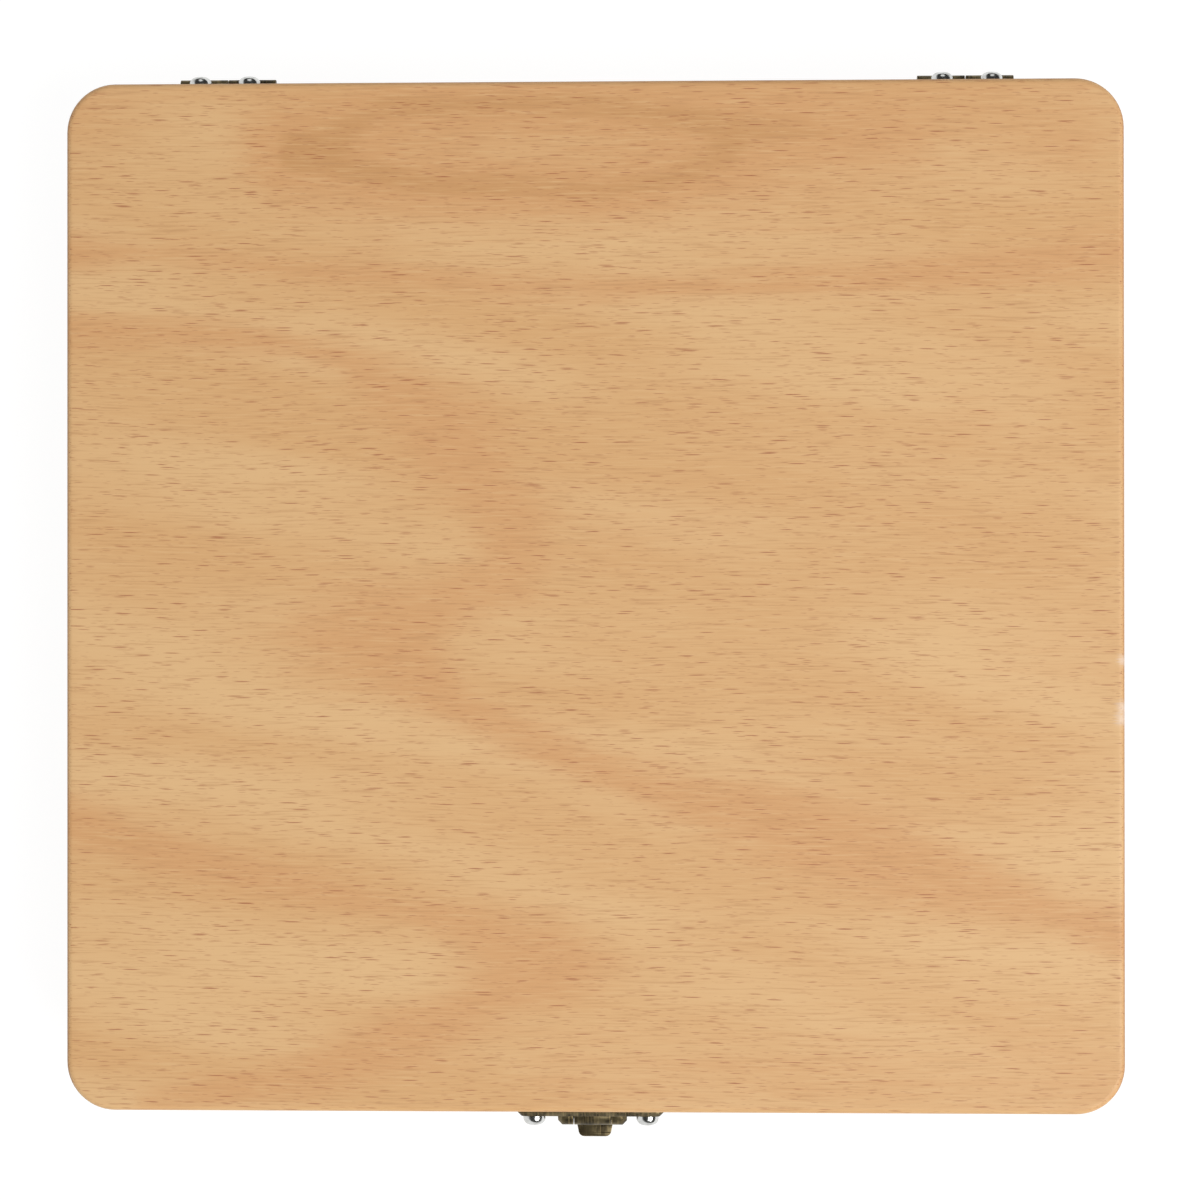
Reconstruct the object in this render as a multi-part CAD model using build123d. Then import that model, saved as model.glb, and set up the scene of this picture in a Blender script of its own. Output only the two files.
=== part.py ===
from build123d import *
import os

# Wooden watercolour paint box with a hinged lid and a front clasp. It holds 24 half pans in
# three rows, a porcelain mixing palette and a round brush.
# Millimetres. X runs along the hinges, +Y points to the hinges, -Y to the clasp and +Z up.
# The origin is the centre of the flat underside that the box stands on.

# Wooden case: its length and depth follow from the pans, the palette bay and the brush trough
trough_width = 20.0
palette_bay_depth = 111.8
base_height = 21.0
lid_height = 15.0
corner_radius = 9.0
wall = 8.0
base_panel_thickness = 4.0
lid_panel_thickness = 4.0
edge_round = 1.2
seam_chamfer = 0.4
base_fingers = 5
lid_fingers = 3

# Pan-head wood screws, used on the hinges and on the clasp
screw_head_radius = 2.05
screw_head_height = 1.8
screw_head_side_height = 0.6
screw_shoulder_radius = 1.7
screw_shoulder_height = 1.4
screw_head_flat_radius = 0.9
screw_shank_radius = 1.0
screw_length = 6.0
screw_tip_length = 1.6
screw_clearance = 0.05

# Hinges
hinge_width = 18.0
hinge_leaf_height = 8.0
hinge_sheet = 0.75
hinge_pin_radius = 0.5
hinge_pin_clearance = 0.05
hinge_standoff = 0.15
hinge_from_end = 28.1
hinge_screw_spacing = 9.2
hinge_screw_height = 4.75
hinge_leaf_corner = 0.6
hinge_knuckles = 4
hinge_knuckle_gap = 0.2

# Clasp
clasp_offset = -0.6
clasp_sheet = 1.1
clasp_plate_width = 27.0
clasp_plate_top = 12.5
clasp_plate_shoulder = 6.4
clasp_plate_corner = 1.4
clasp_plate_end_bevel = 0.7
clasp_screw_spacing = 21.0
clasp_screw_height = 9.4
clasp_pivot_height = 2.0
clasp_pin_radius = 0.8
clasp_pin_clearance = 0.05
clasp_standoff = 0.1
clasp_barrel_width = 12.9
clasp_barrel_end_bevel = 0.8
clasp_slot_relief = 0.3

# Clasp lever, a folded channel with a hooked tooth on each cheek
lever_width = 6.8
lever_side_gap = 0.2
lever_bend_height = 0.0
lever_tip_reach = 7.4
lever_tip_drop = 10.4
lever_bend_radius = 1.6
lever_tip_cut_width = 0.8
lever_tip_cut_height = 1.7
lever_cheek = 0.9
lever_tooth_clearance = 0.4
lever_tooth_inset = 0.9
lever_tooth_height = 1.3
lever_tooth_end = 1.3

# Catch plate on the base
catch_plate_width = 22.0
catch_plate_height = 9.0
catch_plate_shoulder = 2.6
catch_plate_foot_width = 9.0
catch_screw_spacing = 15.6
catch_screw_drop = 3.1
catch_hook_width = 7.8
catch_hook_top = 2.5
catch_hook_inner_radius = 0.6
catch_hook_straight = 2.0

# Rows of half pans
pan_length = 19.0
pan_width = 15.8
pan_height = 10.0
pan_sheet = 0.9
pan_taper = 3.0
pan_corner = 1.4
pan_end_gap = 0.25
pan_side_gap = 0.3
paint_clearance = 0.05
paint_below_rim = 1.6
batten_thickness = 4.0
batten_height = 10.5

# Dividers, palette and brush
divider_thickness = 5.0
divider_height = 13.0
scoop_width = 18.0
scoop_depth = 7.0
palette_clearance = 2.5
palette_height = 9.0
palette_corner = 6.0
palette_edge_round = 1.2
palette_rim = 6.0
palette_web = 4.0
palette_small_wells = 5
palette_small_well_share = 0.3
palette_large_wells = 2
palette_well_depth = 3.6
palette_well_corner = 5.0
palette_well_taper = 30.0
brush_end_clearance = 6.0
brush_handle_radius = 3.7
brush_handle_end_radius = 1.5
brush_neck_radius = 2.5
brush_belly_distance = 38.0
brush_belly_swell = 0.4
brush_ferrule_length = 24.0
brush_ferrule_sheet = 0.3
brush_ferrule_mouth_radius = 2.1
brush_tenon_radius = 2.15
brush_tenon_length = 10.0
brush_root_radius = 1.75
brush_root_length = 6.0
brush_hair_radius = 2.5
brush_hair_length = 15.0
brush_tip_radius = 0.2
brush_lift = 0.05

# The paints, row by row from the back and from left to right
paint_names = (
    ("zinc_white", "lemon_yellow", "cadmium_yellow", "golden_orange",
     "vermilion_red", "scarlet_red", "carmine_red", "rose_madder"),
    ("magenta", "violet", "ultramarine_blue", "cobalt_blue",
     "cerulean_blue", "turquoise_blue", "prussian_blue", "viridian_green"),
    ("emerald_green", "sap_green", "olive_green", "yellow_ochre",
     "burnt_sienna", "oxide_red", "burnt_umber", "ivory_black"),
)

# Worked out from the driving sizes
pan_rows = len(paint_names)
pan_columns = len(paint_names[0])
bank_length = pan_columns * (pan_length + pan_end_gap)
row_depth = pan_width + 2 * pan_side_gap
bank_depth = pan_rows * row_depth + (pan_rows - 1) * batten_thickness
inside_length = bank_length + divider_thickness + trough_width
inside_depth = bank_depth + divider_thickness + palette_bay_depth
box_length = inside_length + 2 * wall
box_depth = inside_depth + 2 * wall
box_height = base_height + lid_height
seam = base_height
floor = base_panel_thickness
brush_length = inside_depth - 2 * brush_end_clearance

hinge_bore_radius = hinge_pin_radius + hinge_pin_clearance
hinge_barrel_radius = hinge_bore_radius + hinge_sheet
hinge_axis_reach = hinge_barrel_radius + hinge_standoff
hinge_centres = (
    ("left", hinge_from_end - box_length / 2),
    ("right", box_length / 2 - hinge_from_end),
)

clasp_bore_radius = clasp_pin_radius + clasp_pin_clearance
clasp_barrel_radius = clasp_bore_radius + clasp_sheet
clasp_pivot_reach = clasp_barrel_radius + clasp_standoff
catch_hook_middle_radius = catch_hook_inner_radius + clasp_sheet / 2
catch_plate_top = -catch_hook_top - catch_hook_middle_radius - clasp_sheet / 2
catch_hook_reach = 2 * catch_hook_middle_radius + clasp_sheet
catch_hook_end = catch_plate_top - catch_hook_straight

bank_left = -inside_length / 2
bank_right = bank_left + bank_length
bank_front = inside_depth / 2 - bank_depth
trough_left = bank_right + divider_thickness
trough_centre = (trough_left + inside_length / 2) / 2
palette_bay_back = bank_front - divider_thickness
palette_centre = ((bank_left + bank_right) / 2, palette_bay_back - palette_bay_depth / 2)

# Sections on these planes have the distance out of the wall as x and the height over the seam
# as y, and are extruded along the box.
back_section = Plane(origin=(0, box_depth / 2, seam), x_dir=(0, 1, 0), z_dir=(1, 0, 0))
front_section = Plane(origin=(0, -box_depth / 2, seam), x_dir=(0, -1, 0), z_dir=(-1, 0, 0))


def box_between(low, high):
    """An upright block between two opposite corners."""
    size = [b - a for a, b in zip(low, high)]
    middle = [(a + b) / 2 for a, b in zip(low, high)]
    return Pos(*middle) * Box(*size)


def footprint_block(bottom, top):
    """The rounded footprint of the box between two heights."""
    outline = Pos(0, 0, bottom) * RectangleRounded(box_length, box_depth, corner_radius)
    return extrude(outline, amount=top - bottom)


def rim_edges(block, highest):
    """The outer edges of the highest or the lowest flat face."""
    return block.faces().sort_by(Axis.Z)[-1 if highest else 0].outer_wire().edges()


def panel(bottom, top, round_top):
    """A board over the whole footprint with its outer edge rounded over."""
    board = footprint_block(bottom, top)
    return fillet(rim_edges(board, round_top), edge_round)


def corner_blocks(bottom, top, fingers, first):
    """Every second finger at all four corners, counted from the given one."""
    step = (top - bottom) / fingers
    blocks = Part()
    for number in range(first, fingers, 2):
        low = bottom + number * step
        for x in (-1, 1):
            for y in (-1, 1):
                middle = (x * (box_length - wall) / 2, y * (box_depth - wall) / 2, low + step / 2)
                blocks += Pos(*middle) * Box(wall, wall, step)
    return blocks


def case_walls(bottom, top, fingers, seam_on_top):
    """Four walls whose fingers interlock at rounded corners, by the side that each is on."""
    ring = footprint_block(bottom, top)
    ring = chamfer(rim_edges(ring, seam_on_top), seam_chamfer)
    ring -= box_between(
        (-inside_length / 2, -inside_depth / 2, bottom), (inside_length / 2, inside_depth / 2, top)
    )
    long_walls = ring - corner_blocks(bottom, top, fingers, 1)
    side_walls = ring - corner_blocks(bottom, top, fingers, 0)
    half_length, half_depth = box_length / 2, box_depth / 2
    strips = {
        "front": ((-half_length, -half_depth, bottom), (half_length, -half_depth + wall, top)),
        "back": ((-half_length, half_depth - wall, bottom), (half_length, half_depth, top)),
        "left": ((-half_length, -half_depth, bottom), (-half_length + wall, half_depth, top)),
        "right": ((half_length - wall, -half_depth, bottom), (half_length, half_depth, top)),
    }
    walls = {}
    for side, (low, high) in strips.items():
        blank = long_walls if side in ("front", "back") else side_walls
        walls[side] = blank & box_between(low, high)
    return walls


def screw():
    """A pan-head screw that stands on its head's underside and points down."""
    profile = Polyline(
        (0, screw_head_height),
        (0, -screw_length),
        (screw_shank_radius, screw_tip_length - screw_length),
        (screw_shank_radius, 0),
        (screw_head_radius, 0),
        (screw_head_radius, screw_head_side_height),
        (screw_shoulder_radius, screw_shoulder_height),
        (screw_head_flat_radius, screw_head_height),
        close=True,
    )
    return revolve(Plane.XZ * make_face(profile), axis=Axis.Z)


def on_wall(shape, x, height, reach, at_back):
    """Stands a shape that points up so that it points out of the front or the back wall."""
    side = 1 if at_back else -1
    return Pos(x, side * (box_depth / 2 + reach), seam + height) * Rot(-side * 90, 0, 0) * shape


def screws_on_wall(places, reach, at_back):
    """One screw at each (x, height) place, with its head on a plate of the given thickness."""
    return [on_wall(screw(), x, height, reach, at_back) for x, height in places]


def screw_holes(places, at_back):
    """Clearance bores for screws at the given places, through a plate and into the wall."""
    bore = Cylinder(screw_shank_radius + screw_clearance, 2 * screw_length)
    holes = Part()
    for x, height in places:
        holes += on_wall(bore, x, height, 0, at_back)
    return holes


def hinge_screw_places(direction):
    """Where the screws of both hinges go: direction is 1 on the lid and -1 on the base."""
    return [
        (centre + side * hinge_screw_spacing / 2, direction * hinge_screw_height)
        for _, centre in hinge_centres
        for side in (-1, 1)
    ]


def hinge_leaf(centre, direction):
    """A leaf with its own knuckles rolled round the pin, and room for the other leaf's."""
    flat = Pos(hinge_sheet / 2, direction * hinge_leaf_height / 2) * Rectangle(
        hinge_sheet, hinge_leaf_height
    )
    barrel = Pos(hinge_axis_reach, 0) * Circle(hinge_barrel_radius)
    bore = Pos(hinge_axis_reach, 0) * Circle(hinge_bore_radius)
    leaf = extrude(back_section * (flat + barrel - bore), amount=hinge_width / 2, both=True)
    corners = leaf.edges().filter_by(Axis.Y).group_by(Axis.Z)[-1 if direction > 0 else 0]
    leaf = chamfer(corners, hinge_leaf_corner)
    pitch = hinge_width / hinge_knuckles
    room = hinge_barrel_radius + hinge_knuckle_gap
    first = 1 if direction > 0 else 0
    for number in range(first, hinge_knuckles, 2):
        low_x = -hinge_width / 2 + number * pitch - hinge_knuckle_gap / 2
        high_x = low_x + pitch + hinge_knuckle_gap
        leaf -= box_between(
            (low_x, box_depth / 2, seam - room),
            (high_x, box_depth / 2 + hinge_axis_reach + room, seam + room),
        )
    leaf -= screw_holes(
        [(side * hinge_screw_spacing / 2, direction * hinge_screw_height) for side in (-1, 1)], True
    )
    return Pos(centre, 0, 0) * leaf


def hinge_pin(centre):
    """The pin through all knuckles of one hinge."""
    return Pos(centre, box_depth / 2 + hinge_axis_reach, seam) * Rot(0, 90, 0) * Cylinder(
        hinge_pin_radius, hinge_width
    )


def front_outline(points, corner):
    """A plate outline seen from the front, given as (x, height over the seam) points."""
    face_plane = Plane(origin=(0, -box_depth / 2, seam), x_dir=(1, 0, 0), z_dir=(0, -1, 0))
    outline = FilletPolyline(*points, radius=corner, close=True)
    return face_plane * make_face(outline)


def clasp_knuckle(low_x, high_x, free_end):
    """A rolled knuckle of the clasp between two x values, bevelled at its free end if it has one."""
    ring = Cylinder(clasp_barrel_radius, high_x - low_x)
    if free_end:
        end = ring.edges().filter_by(GeomType.CIRCLE).sort_by(Axis.Z)[-1 if free_end > 0 else 0]
        ring = chamfer(end, clasp_barrel_end_bevel)
    place = Pos((low_x + high_x) / 2, -box_depth / 2 - clasp_pivot_reach, seam + clasp_pivot_height)
    return place * Rot(0, 90, 0) * ring


def clasp_bore():
    """The bore that runs through the whole barrel of the clasp."""
    place = Pos(0, -box_depth / 2 - clasp_pivot_reach, seam + clasp_pivot_height)
    return place * Rot(0, 90, 0) * Cylinder(clasp_bore_radius, 2 * clasp_barrel_width)


def clasp_screw_places():
    return [(side * clasp_screw_spacing / 2, clasp_screw_height) for side in (-1, 1)]


def catch_screw_places():
    height = catch_plate_top - catch_screw_drop
    return [(side * catch_screw_spacing / 2, height) for side in (-1, 1)]


def clasp_lid_plate():
    """The plate on the lid, with a knuckle on each side of the lever."""
    half = clasp_plate_width / 2
    barrel_half = clasp_barrel_width / 2
    outline = front_outline(
        (
            (-half, clasp_plate_top),
            (half, clasp_plate_top),
            (half, clasp_plate_shoulder),
            (barrel_half, clasp_pivot_height),
            (-barrel_half, clasp_pivot_height),
            (-half, clasp_plate_shoulder),
        ),
        (clasp_plate_corner, clasp_plate_corner, clasp_plate_corner, 0, 0, clasp_plate_corner),
    )
    plate = extrude(outline, amount=clasp_sheet)
    ends = [
        edge
        for edge in plate.edges().filter_by(Axis.Z)
        if edge.center().Y < -box_depth / 2 - clasp_sheet / 2
    ]
    plate = chamfer(ends, clasp_plate_end_bevel)
    inner = lever_width / 2 + lever_side_gap
    slot_top = clasp_pivot_height + clasp_barrel_radius + clasp_slot_relief
    plate -= box_between(
        (-inner, -box_depth / 2 - clasp_sheet, seam), (inner, -box_depth / 2, seam + slot_top)
    )
    plate += clasp_knuckle(-barrel_half, -inner, -1)
    plate += clasp_knuckle(inner, barrel_half, 1)
    return plate - clasp_bore() - screw_holes(clasp_screw_places(), False)


def clasp_lever_pin():
    place = Pos(0, -box_depth / 2 - clasp_pivot_reach, seam + clasp_pivot_height)
    return place * Rot(0, 90, 0) * Cylinder(clasp_pin_radius, clasp_barrel_width)


def lever_cheek_outline():
    """The hooked cheek of the lever as (reach, height) points: it hangs round the catch hook."""
    strap_reach = clasp_pivot_reach + clasp_barrel_radius - clasp_sheet / 2
    drop = lever_bend_height + lever_tip_drop
    slope = (lever_tip_reach - strap_reach) / drop
    notch_reach = catch_hook_reach + lever_tooth_clearance
    notch_top = -catch_hook_top + lever_tooth_clearance
    notch_floor = catch_hook_end - lever_tooth_clearance
    tooth_reach = clasp_sheet + lever_tooth_inset
    tooth_floor = notch_floor - lever_tooth_height
    cheek_end = -lever_tip_drop + lever_tooth_end

    def strap_at(height):
        """The reach of the strap's middle at a height under its bend."""
        return strap_reach + (lever_bend_height - height) * slope

    return (
        (strap_reach, clasp_pivot_height),
        (strap_reach, lever_bend_height),
        (strap_at(cheek_end), cheek_end),
        (tooth_reach, tooth_floor),
        (tooth_reach, notch_floor),
        (notch_reach, notch_floor),
        (notch_reach, notch_top),
        (clasp_pivot_reach, notch_top + clasp_sheet),
        (clasp_pivot_reach, clasp_pivot_height),
    )


def clasp_lever():
    """The thumb lever: a knuckle, a strap that slopes out to the thumb tip and two cheeks."""
    strap_reach = clasp_pivot_reach + clasp_barrel_radius - clasp_sheet / 2
    path = FilletPolyline(
        (strap_reach, clasp_pivot_height),
        (strap_reach, lever_bend_height),
        (lever_tip_reach, -lever_tip_drop),
        radius=lever_bend_radius,
    )
    strap = extrude(
        front_section * trace(path, line_width=clasp_sheet), amount=lever_width / 2, both=True
    )
    half = lever_width / 2
    lowest = -lever_tip_drop - clasp_sheet
    trim = front_outline(
        (
            (-half, clasp_plate_top),
            (half, clasp_plate_top),
            (half, lowest + lever_tip_cut_height),
            (half - lever_tip_cut_width, lowest),
            (lever_tip_cut_width - half, lowest),
            (-half, lowest + lever_tip_cut_height),
        ),
        0,
    )
    strap &= extrude(trim, amount=lever_tip_reach + clasp_sheet)
    cheek_face = front_section * make_face(Polyline(*lever_cheek_outline(), close=True))
    cheek = extrude(cheek_face, amount=lever_cheek / 2, both=True)
    lever = strap + clasp_knuckle(-half, half, 0)
    for side in (-1, 1):
        lever += Pos(side * (half - lever_cheek / 2), 0, 0) * cheek
    return lever - clasp_bore()


def clasp_catch_plate():
    """The plate on the base, whose tongue is rolled over into the hook for the lever."""
    half = catch_plate_width / 2
    bottom = catch_plate_top - catch_plate_height
    foot_half = catch_plate_foot_width / 2
    outline = front_outline(
        (
            (-half, catch_plate_top),
            (half, catch_plate_top),
            (half, bottom + catch_plate_shoulder),
            (foot_half, bottom),
            (-foot_half, bottom),
            (-half, bottom + catch_plate_shoulder),
        ),
        clasp_plate_corner,
    )
    plate = extrude(outline, amount=clasp_sheet)
    middle = clasp_sheet / 2
    far = middle + 2 * catch_hook_middle_radius
    root = Line((middle, catch_plate_top - clasp_sheet), (middle, catch_plate_top))
    roll = TangentArc((middle, catch_plate_top), (far, catch_plate_top), tangent=(0, 1))
    end = Line((far, catch_plate_top), (far, catch_hook_end))
    tongue = trace(Wire([root, *roll.edges(), end]), line_width=clasp_sheet)
    plate += extrude(front_section * tongue, amount=catch_hook_width / 2, both=True)
    return plate - screw_holes(catch_screw_places(), False)


def tapered_cup(x, y, length, width, corner, depth):
    """A solid that narrows downwards from the rim of a half pan, with cut corners."""
    outline = Rectangle(length, width)
    outline = chamfer(outline.vertices(), corner)
    return extrude(Pos(x, y, floor + pan_height) * outline, amount=-depth, taper=pan_taper)


def half_pan(x, y):
    """One tapered half pan, open on top, that stands on the floor."""
    outside = tapered_cup(x, y, pan_length, pan_width, pan_corner, pan_height)
    return outside - pan_hollow(x, y, 0)


def pan_hollow(x, y, gap):
    """The inside of a half pan, kept a gap away from its walls."""
    inset = 2 * (pan_sheet + gap)
    corner = pan_corner - pan_sheet / 2
    return tapered_cup(x, y, pan_length - inset, pan_width - inset, corner, pan_height - pan_sheet)


def paint_cake(x, y):
    """The paint in one half pan, which rests on its bottom and ends under its rim."""
    filled = pan_hollow(x, y, paint_clearance)
    rim = floor + pan_height
    return filled - box_between(
        (x - pan_length, y - pan_width, rim - paint_below_rim), (x + pan_length, y + pan_width, rim)
    )


def pan_place(row, column):
    """The middle of one half pan, with row 0 at the back and column 0 at the left."""
    x = bank_left + (column + 0.5) * (pan_length + pan_end_gap)
    y = inside_depth / 2 - row_depth / 2 - row * (row_depth + batten_thickness)
    return x, y


def pan_batten(number):
    """The batten in front of a row of pans, counted from the back."""
    back = inside_depth / 2 - (number + 1) * row_depth - number * batten_thickness
    return box_between(
        (bank_left, back - batten_thickness, floor), (bank_right, back, floor + batten_height)
    )


def palette_divider():
    """The divider between the rows of pans and the palette."""
    return box_between(
        (bank_left, palette_bay_back, floor), (bank_right, bank_front, floor + divider_height)
    )


def trough_divider():
    """The divider beside the brush trough, with a scoop for lifting out the palette."""
    divider = box_between(
        (bank_right, -inside_depth / 2, floor), (trough_left, inside_depth / 2, floor + divider_height)
    )
    top = floor + divider_height
    scoop_face = make_face(
        Polyline((-scoop_width / 2, top), (scoop_width / 2, top))
        + ThreePointArc((-scoop_width / 2, top), (0, top - scoop_depth), (scoop_width / 2, top))
    )
    across = Plane(origin=(bank_right, palette_centre[1], 0), x_dir=(0, 1, 0), z_dir=(1, 0, 0))
    return divider - extrude(across * scoop_face, amount=divider_thickness)


def palette_well(low_x, high_x, low_y, high_y):
    """The hollow of one shallow well with sloped sides, between its edges."""
    top = floor + palette_height
    outline = RectangleRounded(high_x - low_x, high_y - low_y, palette_well_corner)
    rim = Pos((low_x + high_x) / 2, (low_y + high_y) / 2, top)
    return extrude(rim * outline, amount=-palette_well_depth, taper=palette_well_taper)


def mixing_palette():
    """The porcelain palette: a row of small wells behind a row of large ones."""
    length = bank_length - 2 * palette_clearance
    depth = palette_bay_depth - 2 * palette_clearance
    centre_x, centre_y = palette_centre
    outline = Pos(centre_x, centre_y, floor) * RectangleRounded(length, depth, palette_corner)
    slab = extrude(outline, amount=palette_height)
    slab = fillet(rim_edges(slab, True), palette_edge_round)
    usable_depth = depth - 2 * palette_rim - palette_web
    small_depth = usable_depth * palette_small_well_share
    back = centre_y + depth / 2 - palette_rim
    split = back - small_depth
    front = centre_y - depth / 2 + palette_rim
    rows = (
        (palette_small_wells, split, back),
        (palette_large_wells, front, split - palette_web),
    )
    left = centre_x - length / 2 + palette_rim
    for count, low_y, high_y in rows:
        width = (length - 2 * palette_rim - (count - 1) * palette_web) / count
        for number in range(count):
            low_x = left + number * (width + palette_web)
            slab -= palette_well(low_x, low_x + width, low_y, high_y)
    return slab


def lay_brush(outline):
    """Turns a brush piece from its outline and lays it in the trough with the hair to the front."""
    rest = floor + brush_handle_radius + brush_lift
    place = Pos(trough_centre, brush_length / 2, rest) * Rot(0, 0, -90)
    return place * revolve(make_face(outline), axis=Axis.X)


def brush_pieces():
    """Handle, ferrule and hair, as outlines of radius over the distance from the handle's end."""
    hair_start = brush_length - brush_hair_length
    ferrule_start = hair_start - brush_ferrule_length
    belly = ferrule_start - brush_belly_distance
    neck_middle = (belly + ferrule_start) / 2
    neck_swell = (brush_handle_radius + brush_neck_radius) / 2 + brush_belly_swell
    ferrule_radius = brush_neck_radius + brush_ferrule_sheet
    hair_root = brush_ferrule_mouth_radius - brush_ferrule_sheet
    handle = ThreePointArc(
        (belly, brush_handle_radius), (neck_middle, neck_swell), (ferrule_start, brush_neck_radius)
    ) + Polyline(
        (ferrule_start, brush_neck_radius),
        (ferrule_start, brush_tenon_radius),
        (ferrule_start + brush_tenon_length, brush_tenon_radius),
        (ferrule_start + brush_tenon_length, 0),
        (0, 0),
        (0, brush_handle_end_radius),
        (belly, brush_handle_radius),
    )
    ferrule = Polyline(
        (ferrule_start, brush_neck_radius),
        (ferrule_start, ferrule_radius),
        (hair_start, brush_ferrule_mouth_radius),
        (hair_start, hair_root),
        close=True,
    )
    hair_belly = (hair_start + brush_hair_length / 3, brush_hair_radius)
    tip = (brush_length, brush_tip_radius)
    hair = ThreePointArc((hair_start, hair_root), hair_belly, tip) + Polyline(
        tip,
        (brush_length, 0),
        (hair_start - brush_root_length, 0),
        (hair_start - brush_root_length, brush_root_radius),
        (hair_start, brush_root_radius),
        (hair_start, hair_root),
    )
    return {"handle": lay_brush(handle), "ferrule": lay_brush(ferrule), "hair": lay_brush(hair)}


def case_nodes():
    """The panels and walls of the base and the lid, with bores for their screws."""
    nodes = {
        "base_bottom_panel": panel(0, floor, False),
        "lid_top_panel": panel(box_height - lid_panel_thickness, box_height, True),
    }
    base_walls = case_walls(floor, seam, base_fingers, True)
    lid_walls = case_walls(seam, box_height - lid_panel_thickness, lid_fingers, False)
    base_walls["back"] -= screw_holes(hinge_screw_places(-1), True)
    lid_walls["back"] -= screw_holes(hinge_screw_places(1), True)
    base_walls["front"] -= Pos(clasp_offset, 0, 0) * screw_holes(catch_screw_places(), False)
    lid_walls["front"] -= Pos(clasp_offset, 0, 0) * screw_holes(clasp_screw_places(), False)
    nodes.update({f"base_{side}_wall": made for side, made in base_walls.items()})
    nodes.update({f"lid_{side}_wall": made for side, made in lid_walls.items()})
    return nodes


def hinge_nodes():
    """Both hinges with their pins and screws."""
    nodes = {}
    for side, centre in hinge_centres:
        nodes[f"{side}_hinge_lid_leaf"] = hinge_leaf(centre, 1)
        nodes[f"{side}_hinge_base_leaf"] = hinge_leaf(centre, -1)
        nodes[f"{side}_hinge_pin"] = hinge_pin(centre)
    nodes["hinge_lid_screws"] = screws_on_wall(hinge_screw_places(1), hinge_sheet, True)
    nodes["hinge_base_screws"] = screws_on_wall(hinge_screw_places(-1), hinge_sheet, True)
    return nodes


def clasp_nodes():
    """The clasp's plates, lever, pin and screws, shifted to where the clasp sits."""
    nodes = {
        "clasp_lid_plate": [clasp_lid_plate()],
        "clasp_lever": [clasp_lever()],
        "clasp_lever_pin": [clasp_lever_pin()],
        "clasp_catch_plate": [clasp_catch_plate()],
        "clasp_lid_screws": screws_on_wall(clasp_screw_places(), clasp_sheet, False),
        "clasp_catch_screws": screws_on_wall(catch_screw_places(), clasp_sheet, False),
    }
    shift = Pos(clasp_offset, 0, 0)
    return {name: [shift * shape for shape in shapes] for name, shapes in nodes.items()}


def inside_nodes():
    """What the base holds: battens, dividers, pans, paints, palette and brush."""
    nodes = {
        "back_pan_batten": pan_batten(0),
        "front_pan_batten": pan_batten(1),
        "palette_divider": palette_divider(),
        "trough_divider": trough_divider(),
        "mixing_palette": mixing_palette(),
    }
    nodes.update({f"brush_{name}": shape for name, shape in brush_pieces().items()})
    pans = []
    for row, names in enumerate(paint_names):
        for column, name in enumerate(names):
            place = pan_place(row, column)
            pans.append(half_pan(*place))
            nodes[f"paint_{name}"] = paint_cake(*place)
    nodes["half_pans"] = pans
    return nodes


def write_nodes(nodes):
    """Writes one STEP file per node, with a list of shapes as a group of solids."""
    os.makedirs("parts", exist_ok=True)
    for name, shape in nodes.items():
        solids = shape if isinstance(shape, list) else [shape]
        solids = [solid for item in solids for solid in item.solids()]
        whole = solids[0] if len(solids) == 1 else Compound(children=solids)
        export_step(whole, f"parts/{name}.step")


write_nodes({**case_nodes(), **hinge_nodes(), **clasp_nodes(), **inside_nodes()})
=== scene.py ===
"""Looks of a wooden watercolour paint box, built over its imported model.

The walls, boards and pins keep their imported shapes. The figured lid top, the sheet metal, the
screws, the half pans, the paint, the palette and the brush are made again with finer detail.
Sizes in the classes are in millimetres, and X runs along the hinges, -Y to the clasp, +Z up.
"""

import logging
import math
from collections.abc import Callable
from dataclasses import dataclass
from enum import Enum

import bmesh
import bpy
import numpy as np
from mathutils import Matrix, Vector, noise


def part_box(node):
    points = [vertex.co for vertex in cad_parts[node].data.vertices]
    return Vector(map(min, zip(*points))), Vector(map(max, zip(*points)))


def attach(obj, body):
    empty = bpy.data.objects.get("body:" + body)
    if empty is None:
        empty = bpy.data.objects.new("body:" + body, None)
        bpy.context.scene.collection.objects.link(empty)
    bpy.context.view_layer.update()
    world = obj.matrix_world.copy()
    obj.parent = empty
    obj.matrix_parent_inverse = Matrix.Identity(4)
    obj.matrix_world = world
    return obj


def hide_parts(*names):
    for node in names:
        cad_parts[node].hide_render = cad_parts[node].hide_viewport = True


MM = 0.001

# Points nearer than WELD become one, and a point within NEAR of a height lies at it, in metres.
WELD = 1e-7
NEAR = 1e-6
# An edge that rises by more than this share of its length counts as upright.
UPRIGHT = 0.7
# The turn in radians from one strand of hair to the next, so that no two lie in line.
GOLDEN_TURN = 2.399963

# Sockets are mostly given by number, because several of a node's own share a name. A MapRange
# takes its value at 0, the range that it reads at 1 and 2 and the range that it gives at 3 and 4,
# which run from 0 to 1 where nothing is said. A Mix takes its share at 0 and its two colours at 6
# and 7.
SMOOTH = {"interpolation_type": "SMOOTHSTEP"}
TINT = {"data_type": "RGBA"}

Pair = tuple[float, float]
Triple = tuple[float, float, float]
Quad = tuple[float, float, float, float]

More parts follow.
